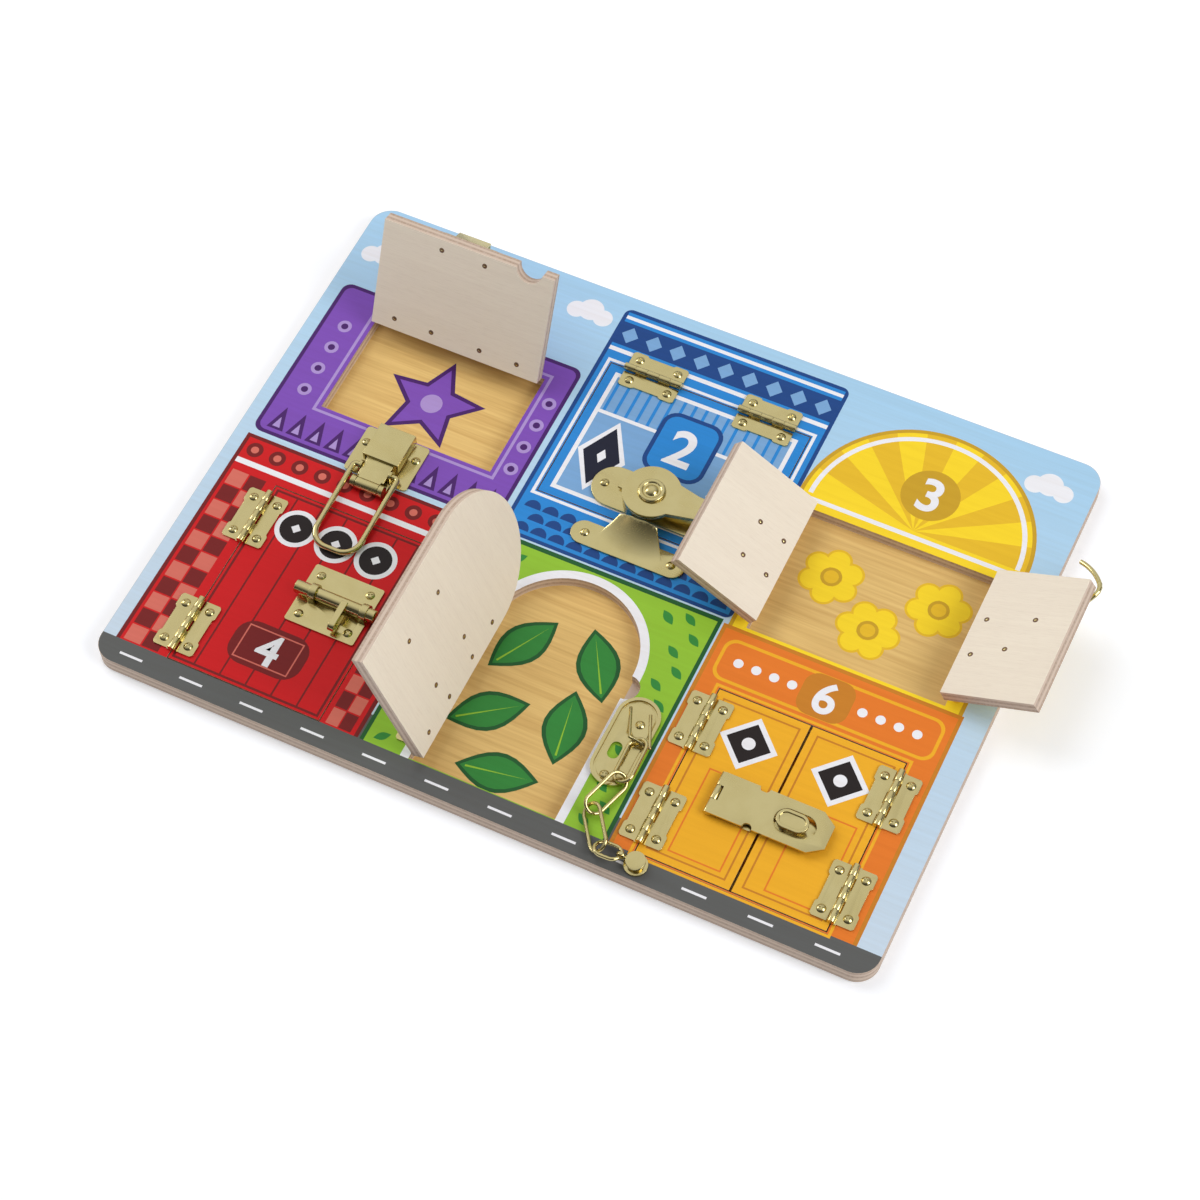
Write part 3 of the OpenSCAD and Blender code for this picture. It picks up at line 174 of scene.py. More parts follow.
def surface(name, group, values, bump=0.0, turn=None, metallic=0.0):
    """A material whose colour, roughness and height come from one shader group on Object coordinates."""
    material = bpy.data.materials.new(name)
    material.use_nodes = True
    tree = material.node_tree
    shader = tree.nodes["Principled BSDF"]
    place = tree.nodes.new("ShaderNodeTexCoord")
    vector = place.outputs["Object"]
    if turn is not None:
        mapping = tree.nodes.new("ShaderNodeMapping")
        mapping.inputs["Location"].default_value = turn[0]
        mapping.inputs["Rotation"].default_value = turn[1]
        tree.links.new(vector, mapping.inputs["Vector"])
        vector = mapping.outputs[0]
    effect = tree.nodes.new("ShaderNodeGroup")
    effect.node_tree = group
    tree.links.new(vector, effect.inputs["Vector"])
    for label, value in values.items():
        effect.inputs[label].default_value = value
    tree.links.new(effect.outputs["Color"], shader.inputs["Base Color"])
    tree.links.new(effect.outputs["Roughness"], shader.inputs["Roughness"])
    shader.inputs["Metallic"].default_value = metallic
    if bump:
        relief = tree.nodes.new("ShaderNodeBump")
        relief.inputs["Strength"].default_value = bump
        relief.inputs["Distance"].default_value = RELIEF
        tree.links.new(effect.outputs["Height"], relief.inputs["Height"])
        tree.links.new(relief.outputs[0], shader.inputs["Normal"])
    return material


BIRCH_FACE = linear(243, 231, 212)
BIRCH_EDGE = linear(211, 190, 172)
BIRCH_CORE = linear(196, 173, 156)


def birch(name, back, ply, turn=None):
    values = {"Back": back * MM, "Ply": ply * MM, "Face": BIRCH_FACE, "Edge": BIRCH_EDGE, "Core": BIRCH_CORE}
    return surface(name, ply_tree, values, bump=0.35, turn=turn)


def finish_node(name, material):
    mesh = nodes[name].data
    mesh.materials.clear()
    mesh.materials.append(material)


finish_node("base_panel", birch("birch_backing", back=0.0, ply=0.9))

# Printed inks: opaque colours laid on the sealed face of the plywood, in thin layers.
# Each print is one sheet of flat shapes; a later colour lies a hundredth of a millimetre higher.
INK_STEP, INK_CLEAR = 0.01, 0.002
FADE_FRONT, FADE_BACK = -130 * MM, 146 * MM
GRAIN_TINT = linear(196, 164, 124)
GRAIN_SHOWS, GRAIN_SHOWS_IN_TAN = 0.1, 0.4
INK_ROUGH, CLOUD_ROUGH = 0.34, 0.08
INK_SHINE = 0.15

ink_tree, ink_in, ink_out = shader_group(
    "ink_on_birch",
    [("Vector", "NodeSocketVector", (0, 0, 0)), ("Ink", "NodeSocketColor", (1, 1, 1, 1)),
     ("Far Ink", "NodeSocketColor", (1, 1, 1, 1)), ("Show", "NodeSocketFloat", 0.1)],
    [("Color", "NodeSocketColor"), ("Roughness", "NodeSocketFloat"), ("Height", "NodeSocketFloat")],
)
ink_grain = ink_tree.nodes.new("ShaderNodeGroup")
ink_grain.node_tree = grain_tree
ink_tree.links.new(ink_in.outputs["Vector"], ink_grain.inputs["Vector"])
ink_dark = ink_tree.nodes.new("ShaderNodeMix")
ink_dark.data_type = "RGBA"
ink_dark.blend_type = "MULTIPLY"
shown_grain = math_node(ink_tree, "MULTIPLY", ink_grain.outputs["Streak"], ink_in.outputs["Show"])
ink_tree.links.new(shown_grain, ink_dark.inputs["Factor"])
ink_split = ink_tree.nodes.new("ShaderNodeSeparateXYZ")
ink_tree.links.new(ink_in.outputs["Vector"], ink_split.inputs[0])
ink_fade = ramp(ink_tree, ink_split.outputs[1], low=FADE_FRONT, high=FADE_BACK)
ink_tree.links.new(
    mix_colour(ink_tree, ink_fade, ink_in.outputs["Ink"], ink_in.outputs["Far Ink"]), ink_dark.inputs[6]
)
ink_dark.inputs[7].default_value = GRAIN_TINT
ink_tree.links.new(ink_dark.outputs[2], ink_out.inputs["Color"])
amount = math_node(ink_tree, "MULTIPLY", ink_grain.outputs["Cloud"], CLOUD_ROUGH)
ink_tree.links.new(math_node(ink_tree, "ADD", amount, INK_ROUGH), ink_out.inputs["Roughness"])
ink_tree.links.new(ink_grain.outputs["Pore"], ink_out.inputs["Height"])

INKS = {
    "sky": (200, 217, 233), "white": (238, 238, 243), "charcoal": (94, 95, 94), "black": (40, 34, 34),
    "violet": (126, 80, 180), "plum": (74, 38, 104), "lilac": (172, 146, 208),
    "red": (206, 28, 32), "crimson": (118, 34, 34), "coral": (214, 112, 98),
    "blue": (48, 136, 212), "navy": (36, 72, 134), "azure": (124, 168, 214), "ink_blue": (34, 36, 52),
    "yellow": (250, 216, 48), "amber": (232, 188, 48), "ochre": (202, 160, 46),
    "green": (146, 193, 58), "leaf": (56, 136, 62), "forest": (40, 92, 50),
    "orange": (229, 124, 46), "gold": (240, 176, 44), "rust": (200, 128, 44),
    "tan": (230, 194, 124),
}
SKY_AT_BACK = (168, 208, 237)
inks = {}
for name, rgb in INKS.items():
    far = SKY_AT_BACK if name == "sky" else rgb
    shows = GRAIN_SHOWS_IN_TAN if name == "tan" else GRAIN_SHOWS
    values = {"Ink": linear(*rgb), "Far Ink": linear(*far), "Show": shows}
    inks[name] = surface("ink_" + name, ink_tree, values, bump=0.12)
    inks[name].node_tree.nodes["Principled BSDF"].inputs["Specular IOR Level"].default_value = INK_SHINE


def clip(shape, start, finish, keep_left):
    """The part of a convex shape on one side of a line."""
    (x0, y0), (x1, y1) = start, finish
    sign = 1 if keep_left else -1

    def side(p):
        return sign * ((x1 - x0) * (p[1] - y0) - (y1 - y0) * (p[0] - x0))

    kept = []
    for p, q in zip(shape, shape[1:] + shape[:1]):
        sp, sq = side(p), side(q)
        if sp >= 0:
            kept.append(p)
        if (sp > 0 > sq) or (sp < 0 < sq):
            t = sp / (sp - sq)
            kept.append((p[0] + (q[0] - p[0]) * t, p[1] + (q[1] - p[1]) * t))
    return kept


def area(shape):
    return sum(p[0] * q[1] - q[0] * p[1] for p, q in zip(shape, shape[1:] + shape[:1])) / 2

SLIVER = 0.01


def cut_out(shapes, hole):
    """Convex shapes less a convex hole, as convex shapes. All run anticlockwise."""
    left = []
    for shape in shapes:
        inside = shape
        for start, finish in zip(hole, hole[1:] + hole[:1]):
            outer = clip(inside, start, finish, False)
            if len(outer) > 2 and area(outer) > SLIVER:
                left.append(outer)
            inside = clip(inside, start, finish, True)
            if len(inside) < 3 or area(inside) < SLIVER:
                break
    return left


def box(x0, y0, x1, y1):
    return [(x0, y0), (x1, y0), (x1, y1), (x0, y1)]


def disc(x, y, radius, count=40, turn=0.0, squash=1.0):
    angles = [math.radians(turn) + 2 * math.pi * i / count for i in range(count)]
    return [(x + radius * math.cos(a), y + squash * radius * math.sin(a)) for a in angles]


def diamond(x, y, wide, high):
    return [(x + wide, y), (x, y + high), (x - wide, y), (x, y - high)]


def soft_box(x0, y0, x1, y1, corner, count=6):
    shape = []
    for x, y, first in ((x1 - corner, y1 - corner, 0), (x0 + corner, y1 - corner, 90),
                        (x0 + corner, y0 + corner, 180), (x1 - corner, y0 + corner, 270)):
        for i in range(count + 1):
            a = math.radians(first + 90 * i / count)
            shape.append((x + corner * math.cos(a), y + corner * math.sin(a)))
    return shape


def arch(x, low, spring, radius, count=36):
    bow = [(x + radius * math.cos(math.pi * i / count), spring + radius * math.sin(math.pi * i / count))
           for i in range(count + 1)]
    return [(x - radius, low), (x + radius, low)] + bow


def band(x, y, inner, outer, first, last, count):
    """Part of a ring as a row of four-sided shapes."""
    shapes = []
    for i in range(count):
        a = math.radians(first + (last - first) * i / count)
        b = math.radians(first + (last - first) * (i + 1) / count)
        corners = ((inner, a), (outer, a), (outer, b), (inner, b))
        shapes.append([(x + reach * math.cos(way), y + reach * math.sin(way)) for reach, way in corners])
    return shapes


def outline(x0, y0, x1, y1, width):
    return [box(x0, y0, x1, y0 + width), box(x0, y1 - width, x1, y1),
            box(x0, y0 + width, x0 + width, y1 - width), box(x1 - width, y0 + width, x1, y1 - width)]

FIGURE_SIZE, FIGURE_BOLD = 1.36, 0.03


def numeral(figure, x, y, height):
    """One plain figure from the built-in type, as flat shapes centred on x, y."""
    curve = bpy.data.curves.new("figure", "FONT")
    curve.body = figure
    curve.size = height * FIGURE_SIZE
    curve.offset = height * FIGURE_BOLD
    curve.align_x = "CENTER"
    curve.align_y = "CENTER"
    holder = bpy.data.objects.new("figure", curve)
    bpy.context.scene.collection.objects.link(holder)
    bpy.context.view_layer.update()
    mesh = bpy.data.meshes.new_from_object(holder.evaluated_get(bpy.context.evaluated_depsgraph_get()))
    points = [(v.co.x, v.co.y) for v in mesh.vertices]
    mid_x = (min(p[0] for p in points) + max(p[0] for p in points)) / 2
    mid_y = (min(p[1] for p in points) + max(p[1] for p in points)) / 2
    shapes = []
    for polygon in mesh.polygons:
        shape = [(points[i][0] - mid_x + x, points[i][1] - mid_y + y) for i in polygon.vertices]
        shapes.append(shape if area(shape) > 0 else shape[::-1])
    bpy.data.objects.remove(holder)
    bpy.data.meshes.remove(mesh)
    bpy.data.curves.remove(curve)
    return shapes


def layer_solid(shapes, low, high, points, faces):
    """Adds flat shapes as one closed layer from height low to high, with walls only round the outside."""
    found, flat, loops = {}, [], []
    for shape in shapes:
        loop = []
        for p in shape:
            key = (round(p[0], 3), round(p[1], 3))
            if key not in found:
                found[key] = len(flat)
                flat.append(key)
            if not loop or loop[-1] != found[key]:
                loop.append(found[key])
        if len(loop) > 1 and loop[0] == loop[-1]:
            loop.pop()
        if len(loop) > 2:
            loops.append(loop)
    start, count = len(points), len(flat)
    points += [(x, y, low) for x, y in flat] + [(x, y, high) for x, y in flat]
    edges = {(a, b) for loop in loops for a, b in zip(loop, loop[1:] + loop[:1])}
    before = len(faces)
    for loop in loops:
        faces.append([start + count + i for i in loop])
        faces.append([start + i for i in reversed(loop)])
    for a, b in sorted(edges):
        if (b, a) not in edges:
            faces.append([start + a, start + b, start + count + b, start + count + a])
    return len(faces) - before


def printed(name, body, sheet, height, place=Matrix.Identity(4)):
    """Makes a print from (ink, level, shapes) rows, lays it at a height and fixes it to its body."""
    points, faces, which, used = [], [], [], []
    for ink, level, shapes in sheet:
        if ink not in used:
            used.append(ink)
        added = layer_solid(shapes, height + INK_CLEAR, height + INK_STEP * level, points, faces)
        which += [used.index(ink)] * added
    mesh = bpy.data.meshes.new(name)
    mesh.from_pydata(points, [], faces)
    for ink in used:
        mesh.materials.append(inks[ink])
    mesh.polygons.foreach_set("material_index", which)
    mesh.transform(Matrix.Scale(MM, 4) @ place)
    piece = bpy.data.objects.new(name, mesh)
    bpy.context.scene.collection.objects.link(piece)
    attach(piece, body)
    return piece


# Recess prints: the varnished floor of each recess carries a number of plain coloured figures
# that goes with the number of its door: a star, lozenges, blossoms, balls, leaves and squares.
DOOR_NAMES = (
    "door_1", "door_2", "door_3_left", "door_3_right", "door_4", "door_5", "door_6_left", "door_6_right",
)
DOOR_GAP = 0.6
TOUCH = 0.01
hinge_of = {joint["child"]: joint for joint in frame["record"]["behaviour"]["joints"]}


def swing(door):
    """The move, in millimetres, that takes a door from closed to the way it stands in the photograph."""
    joint = hinge_of[door]
    centre = Vector(joint["pos_m"]) / MM
    turned = Matrix.Rotation(-math.radians(joint["range_deg"][0]), 4, Vector(joint["axis"]))
    return Matrix.Translation(centre) @ turned @ Matrix.Translation(-centre)


def panel_box(door):
    """Edges of a door's face when it is closed."""
    shut = swing(door).inverted()
    corners = [shut @ (v.co / MM) for v in nodes[door + "_panel"].data.vertices]
    face = [c for c in corners if c.z > TOP - TOUCH]
    across, along = [c.x for c in face], [c.y for c in face]
    return [round(edge, 2) for edge in (min(across), min(along), max(across), max(along))]


PANELS = {door: panel_box(door) for door in DOOR_NAMES}


def cut_for(first, last):
    x0, y0, x1, y1 = *PANELS[first][:2], *PANELS[last][2:]
    return x0 - DOOR_GAP, y0 - DOOR_GAP, x1 + DOOR_GAP, y1 + DOOR_GAP


def arched(x0, y0, x1, y1):
    half = (x1 - x0) / 2
    return arch(x0 + half, y0, y1 - half, half)


OPENINGS = {
    "1": box(*cut_for("door_1", "door_1")),
    "2": box(*cut_for("door_2", "door_2")),
    "3": box(*cut_for("door_3_left", "door_3_right")),
    "4": box(*cut_for("door_4", "door_4")),
    "5": arched(*cut_for("door_5", "door_5")),
    "6": box(*cut_for("door_6_left", "door_6_right")),
}


def star(x, y, outer, inner, tips, turn):
    shapes = []
    for i in range(tips):
        a = math.radians(turn + 360 * i / tips)
        half = math.pi / tips
        shapes.append([
            (x, y),
            (x + inner * math.cos(a - half), y + inner * math.sin(a - half)),
            (x + outer * math.cos(a), y + outer * math.sin(a)),
            (x + inner * math.cos(a + half), y + inner * math.sin(a + half)),
        ])
    return shapes


def leaf_shape(x, y, length, wide, turn, count=9):
    c, s = math.cos(math.radians(turn)), math.sin(math.radians(turn))
    side = [(length * (i / count - 0.5), wide * math.sin(math.pi * i / count)) for i in range(count + 1)]
    ring = side[::-1] + [(u, -v) for u, v in side[1:-1]]
    shape = [(x + u * c - v * s, y + u * s + v * c) for u, v in ring]
    return shape if area(shape) > 0 else shape[::-1]


STAR = (-119, 50)
LOZENGES = ((-20, 62), (33, 62))
BLOSSOMS = ((99, 40), (126, 20), (152, 44))
BALLS = ((-142, -58), (-104, -58), (-142, -104), (-104, -104))
LEAVES = ((-17, -54, 60), (20, -50, 120), (-16, -93, 35), (20, -86, 100), (2, -120, 10))
SQUARES = [(x, y) for x in (94, 124, 154) for y in (-64, -108)]
PETALS, PETAL_OUT = 6, 9.5
RIB, RIB_HALF = 15, 0.5

floor_print = [("tan", 1, [shape]) for shape in OPENINGS.values()]
floor_print += [
    ("plum", 2, star(*STAR, 27, 13, 5, 90)),
    ("violet", 3, star(*STAR, 22, 10.5, 5, 90)),
    ("lilac", 4, [disc(*STAR, 5.5)]),
]
for x, y in LOZENGES:
    floor_print += [
        ("navy", 2, [diamond(x, y, 18, 26)]),
        ("blue", 3, [diamond(x, y, 13, 20)]),
        ("azure", 4, [diamond(x, y, 5, 8)]),
    ]
for x, y in BLOSSOMS:
    for i in range(PETALS):
        a = math.radians(360 / PETALS * i + 10 * x)
        petal = x + PETAL_OUT * math.cos(a), y + PETAL_OUT * math.sin(a)
        floor_print += [
            ("amber", 2 + 0.4 * i, [disc(*petal, 6.6, 24)]),
            ("yellow", 5 + 0.4 * i, [disc(*petal, 5.4, 24)]),
        ]
    floor_print += [("ochre", 8, [disc(x, y, 5.2)]), ("amber", 9, [disc(x, y, 3.6)])]
for x, y in BALLS:
    floor_print += [
        ("crimson", 2, [disc(x, y, 15)]),
        ("red", 3, [disc(x, y, 12.5)]),
        ("coral", 4, [disc(x - 4, y + 4, 3.5)]),
    ]
for x, y, turn in LEAVES:
    c, s = math.cos(math.radians(turn)), math.sin(math.radians(turn))
    rib = [
        (x - RIB * c - RIB_HALF * s, y - RIB * s + RIB_HALF * c),
        (x - RIB * c + RIB_HALF * s, y - RIB * s - RIB_HALF * c),
        (x + RIB * c, y + RIB * s),
    ]
    floor_print += [
        ("forest", 2, [leaf_shape(x, y, 40, 10.5, turn)]),
        ("leaf", 3, [leaf_shape(x, y, 35, 8.4, turn)]),
        ("green", 4, [rib if area(rib) > 0 else rib[::-1]]),
    ]
for x, y in SQUARES:
    floor_print += [
        ("rust", 2, [soft_box(x - 11, y - 11, x + 11, y + 11, 3)]),
        ("orange", 3, [soft_box(x - 9, y - 9, x + 9, y + 9, 2.4)]),
        ("gold", 4, [disc(x, y, 4)]),
    ]
printed("print_floor", "board", floor_print, BASE_TOP)

# Front panel: thicker birch plywood with six cut-outs, its face printed in fields of colour.
# Bare plies show along the outside edge and inside each cut-out.
finish_node("frame_panel", birch("birch_front", back=BASE_TOP, ply=1.6))
NOTCH = disc(38.3, -58.0, 6.4, 32)


def on_front(shapes):
    for hole in list(OPENINGS.values()) + [NOTCH]:
        shapes = cut_out(shapes, hole)
    return shapes


front_print = []


def lay(ink, level, *shapes):
    """Adds shapes of one colour to the front print, less the openings and the notch."""
    front_print.append((ink, level, on_front(list(shapes))))


def dots(ink, level, radius, places):
    for x, y in places:
        lay(ink, level, disc(x, y, radius, 20))


FACE_X, FACE_Y, CORNER = 196.9, 145.9, 11
STRIP_TOP = -133.4
RIM = 2
CLOUDS = ((175, 125), (-180, 116), (-70, 128))
PUFFS = ((2, -7, 0, 5), (2.5, 0, 2.5, 6.5), (3, 7.5, 0, 5))

lay("sky", 1, soft_box(-FACE_X, -FACE_Y, FACE_X, FACE_Y, CORNER, 8))
for x, y in CLOUDS:
    for level, along, up, radius in PUFFS:
        lay("white", level, disc(x + along, y + up, radius, 28))

# strip along the front edge
lay("charcoal", 2, soft_box(-FACE_X, -FACE_Y, FACE_X, -120, CORNER, 8))
lay("sky", 3, box(-FACE_X, STRIP_TOP, -190, -119), box(185, STRIP_TOP, FACE_X, -119))
for x in range(-184, 180, 32):
    lay("white", 3, box(x, -140.6, x + 12, -139.4))

# violet field round door 1
x0, y0, x1, y1 = -190, -3, -57, 95
STUDS = [(x, y) for x in (-177.5, -64) for y in (28, 42, 56, 70)]
lay("plum", 2, soft_box(x0, y0, x1, y1, 5))
lay("violet", 3, soft_box(x0 + RIM, y0 + RIM, x1 - RIM, y1 - RIM, 4))
lay("lilac", 4, box(-168.5, 18.8, -69, 86))
lay("violet", 5, box(-167, 20.3, -70.5, 84.5))
dots("lilac", 4, 3.6, STUDS)
dots("plum", 5, 1.8, STUDS)
for i in range(12):
    x = -184 + i * 10.4
    lay("plum", 4, [(x, 1), (x + 8.8, 1), (x + 4.4, 15)])
    lay("lilac", 5, [(x + 2.4, 2.4), (x + 6.4, 2.4), (x + 4.4, 8.6)])

# red field round door 4
x0, x1, y1 = -190, -62, -6
BRICKS = ((-186.4, 8.8, 0), (-176.8, 8.8, 1), (-79.2, 6.2, 0), (-72.4, 6.2, 1))
lay("crimson", 3, box(x0, STRIP_TOP, x1, y1))
lay("red", 4, box(x0 + RIM, STRIP_TOP, x1 - RIM, y1 - RIM))
lay("white", 5, box(x0 + RIM, -23.5, x1 - RIM, -20.5))
for i in range(10):
    x = -182 + i * 12.4
    lay("crimson", 5, disc(x, -14, 4.2, 24))
    lay("coral", 6, disc(x, -14, 2.0, 18))
for i in range(11):
    y = -132.6 + i * 9.6
    for x, wide, first in BRICKS:
        tone = "crimson" if (i + first) % 2 else "coral"
        lay(tone, 5, box(x, y, x + wide, y + 8.8))

# blue field round door 2
x0, y0, x1, y1 = -54, -5, 67, 139
lay("navy", 2, soft_box(x0, y0, x1, y1, 4))
lay("blue", 3, box(x0 + RIM, y0 + RIM, x1 - RIM, y1 - RIM))
lay("navy", 4, box(x0 + RIM, 117, x1 - RIM, 131))
for i in range(9):
    lay("azure", 5, diamond(-45.6 + i * 13, 124, 4.4, 5))
lay("white", 4, box(x0 + RIM, 112.6, x1 - RIM, 115))
lay("white", 4, box(x0 + RIM, 133, x1 - RIM, 135))
lay("white", 5, *outline(-49.6, 20, 62.4, 107.8, 1.6))
for row, y in enumerate((-1.0, 5.6, 12.2)):
    for i in range(13):
        x = -49 + i * 9.4 + (4.7 if row % 2 else 0)
        if x < 61:
            turns = [math.pi * j / 10 for j in range(11)]
            lay("navy", 4, [(x + 4.2 + 4.2 * math.cos(a), y + 4.6 * math.sin(a)) for a in turns])

# yellow field round doors 3, with a fan of rays over it
x0, x1, y1 = 67, 184, 76
FAN = (125.4, y1)
SIGN_3 = (125.4, 98)
lay("ochre", 2, box(x0, -8, x1, y1), *band(*FAN, 0, 58.4, 0, 180, 48))
lay("yellow", 3, box(x0 + RIM, -7.6, x1 - RIM, y1))
for i in range(12):
    tone = "yellow" if i % 2 else "amber"
    lay(tone, 3, *band(*FAN, 0, 56.4, 15 * i, 15 * i + 15, 5))
lay("white", 4, *band(*FAN, 51.6, 54, 0, 180, 48))
lay("white", 4, box(x0 + RIM, 71.6, x1 - RIM, 74))
lay("ochre", 5, disc(*SIGN_3, 14.4, 48))
front_print.append(("white", 6, numeral("3", *SIGN_3, 19)))
dots("amber", 4, 2.4, [(x, y) for x in (178.4, 72) for y in range(0, 66, 11)])

# green field round door 5
x0, x1, y1 = -61, 64, -6
lay("forest", 3, box(x0, STRIP_TOP, x1, y1))
lay("green", 4, box(x0 + RIM, STRIP_TOP, x1 - RIM, -8.4))
for i in range(13):
    y = -128 + i * 9.6
    lay("leaf", 5, leaf_shape(-52 + (i % 2) * 6, y, 8.4, 2.0, 35))
    lay("leaf", 5, leaf_shape(50 + (i % 2) * 6, y, 8.4, 2.0, 145))
lay("leaf", 5, leaf_shape(-38, -16, 9, 2.2, 40))
lay("leaf", 5, leaf_shape(40, -16, 9, 2.2, 140))
lay("white", 6, *band(1.2, -51, 37, 41.4, 0, 180, 48))
lay("white", 6, box(38.3, STRIP_TOP, 42.6, -51), box(-40.2, STRIP_TOP, -35.9, -51))

# orange field round doors 6
x0, x1, y1 = 65, 185, -7.6
lay("rust", 3, box(x0, STRIP_TOP, x1, y1))
lay("orange", 4, box(x0 + RIM, STRIP_TOP, x1 - RIM, y1 - RIM))
lay("gold", 5, soft_box(70, -36.6, 180, -13.4, 6))
lay("orange", 6, soft_box(71.6, -35, 178.4, -15, 5))
dots("white", 7, 2.4, [(x, -25) for x in (80, 89, 98, 107, 142, 151, 160, 169)])
front_print.append(("rust", 7, [soft_box(111.4, -36.4, 136.4, -13.6, 7)]))
front_print.append(("white", 8, numeral("6", 123.9, -25, 17)))
lay("gold", 5, *outline(75, -135, 172.8, -38.4, 1.4))
printed("print_front", "board", front_print, TOP)

# Doors: small plywood panels sawn from the front panel, printed outside and bare birch inside.
# Each swings on brass hinges about its hinged edge; four of them stand open.
DOOR_BACK = 3.0


def door_birch(door):
    shut = swing(door).inverted()
    turn = (shut.translation * MM, tuple(shut.to_euler()))
    return birch("birch_" + door, back=DOOR_BACK, ply=1.5, turn=turn)


for door in DOOR_NAMES:
    finish_node(door + "_panel", door_birch(door))

prints = {}

GRIP = disc(-86.3, 22.9, 7.0, 32)
prints["door_1"] = [
    ("violet", 1, cut_out([box(*PANELS["door_1"])], GRIP)),
    ("lilac", 2, outline(-158, 30, -79, 76, 1.6)),
    ("plum", 2, [box(-155.4, 32.6, -81.6, 73.4)]),
    ("violet", 3, [soft_box(-154, 34, -83, 72, 4)]),
    *(("lilac", 4, [disc(x, 53, 4.4, 24)]) for x in (-146, -91)),
    ("plum", 4, [disc(-118.7, 55, 15, 40)]),
    ("white", 5, numeral("1", -118.7, 55, 20)),
]

prints["door_2"] = [
    ("blue", 1, [box(*PANELS["door_2"])]),
    ("white", 2, outline(-42.5, 27, 55.3, 101, 2.2)),
    ("azure", 2, [box(-40.3, 29.2, 53.1, 98.8)]),
    *(("blue", 3, [box(-39 + i * 5.8, 78, -37.4 + i * 5.8, 98.8)]) for i in range(16)),
    ("white", 4, [box(-40.3, 76, 53.1, 78)]),
]
for x in (-27.5, 40.3):
    prints["door_2"] += [
        ("white", 3, [diamond(x, 53, 12.6, 21.5)]),
        ("ink_blue", 4, [diamond(x, 53, 9.8, 17.6)]),
        ("white", 5, [diamond(x, 53, 2.4, 4.2)]),
    ]
prints["door_2"] += [
    ("navy", 5, [soft_box(-9.6, 55, 22.4, 92, 8)]),
    ("blue", 6, [soft_box(-7.4, 57.2, 20.2, 89.8, 6)]),
    ("white", 7, numeral("2", 6.4, 73, 21)),
]

for door in ("door_3_left", "door_3_right"):
    x0, x1 = PANELS[door][0], PANELS[door][2]
    prints[door] = [
        ("yellow", 1, [box(*PANELS[door])]),
        ("ochre", 2, outline(x0 + 4, -1.3, x1 - 4, 62.9, 1.2)),
        ("amber", 2, [soft_box(x0 + 8, 3, x1 - 8, 58.6, 5)]),
        *(("yellow", 3, [diamond((x0 + x1) / 2, y, 8, 8)]) for y in (12, 31, 50)),
    ]

PLANK_LINES, LINE_HALF = (-149.4, -135.9, -122.3, -108.8, -95.3), 0.45
prints["door_4"] = [
    ("red", 1, [box(*PANELS["door_4"])]),
    *(("crimson", 2, [box(x - LINE_HALF, -130.6, x + LINE_HALF, -30.6)]) for x in PLANK_LINES),
    ("crimson", 2, outline(-161, -131.8, -83.6, -29.4, 1.2)),
]
for x in (-142, -120.5, -99):
    prints["door_4"] += [
        ("white", 3, [disc(x, -45.6, 10.4, 48)]),
        ("black", 4, [disc(x, -45.6, 8.0, 44)]),
        ("white", 5, [diamond(x, -45.6, 2.6, 2.6)]),
    ]
prints["door_4"] += [
    ("crimson", 3, [soft_box(-140.5, -122, -102.5, -98, 9)]),
    ("coral", 4, outline(-136, -119.4, -107, -100.6, 0.7)),
    ("white", 5, numeral("4", -121.5, -110, 17)),
]

prints["door_5"] = [
    ("green", 1, [arched(*PANELS["door_5"])]),
    ("white", 2, [arch(1.2, -126, -51, 30.5)]),
    ("leaf", 3, [arch(1.2, -124, -51, 28.5)]),
    ("green", 4, [arch(1.2, -121.5, -51, 26)]),
    ("forest", 5, [disc(1.2, -48, 15, 40)]),
    ("white", 6, numeral("5", 1.2, -48, 20)),
]

for door, x in (("door_6_left", 101.4), ("door_6_right", 146.6)):
    x0, x1 = PANELS[door][0], PANELS[door][2]
    prints[door] = [
        ("gold", 1, [box(*PANELS[door])]),
        ("rust", 2, outline(x0 + 3.4, -128.8, x1 - 3.4, -44.4, 0.9)),
        ("orange", 2, outline(x0 + 12.6, -126, x1 - 7, -80, 0.8)),
        ("white", 3, [diamond(x, -61.5, 14.4, 14.4)]),
        ("black", 4, [diamond(x, -61.5, 11, 11)]),
        ("white", 5, [disc(x, -61.5, 3.2, 24)]),
    ]

for door, sheet in prints.items():
    printed("print_" + door, door, sheet, TOP, swing(door))

# Brass: stamped sheet and drawn wire, bright plated, shared by all the hinges and latches.
# Handling leaves faint cloudy marks on it, and tools leave fine scuffs.
SMEAR_TINT, SMEAR_ROUGH, SCUFF_ROUGH = 0.4, 0.08, 0.05
brass_tree, brass_in, brass_out = shader_group(
    "handled_brass",
    [("Vector", "NodeSocketVector", (0, 0, 0)), ("Bright", "NodeSocketColor", (1, 1, 1, 1)),
     ("Dull", "NodeSocketColor", (1, 1, 1, 1)), ("Polish", "NodeSocketFloat", 0.16)],
    [("Color", "NodeSocketColor"), ("Roughness", "NodeSocketFloat"), ("Height", "NodeSocketFloat")],
)
smear = stretched_noise(brass_tree, brass_in.outputs["Vector"], scale=(70, 70, 70), detail=4)
smear = ramp(brass_tree, smear, low=0.38, high=0.72)
scuff = stretched_noise(brass_tree, brass_in.outputs["Vector"], scale=(240, 1500, 900), detail=3)
scuff = ramp(brass_tree, scuff, low=0.5, high=0.8)
brass_tree.links.new(
    mix_colour(brass_tree, math_node(brass_tree, "MULTIPLY", smear, SMEAR_TINT),
               brass_in.outputs["Bright"], brass_in.outputs["Dull"]),
    brass_out.inputs["Color"],
)
polish = brass_in.outputs["Polish"]
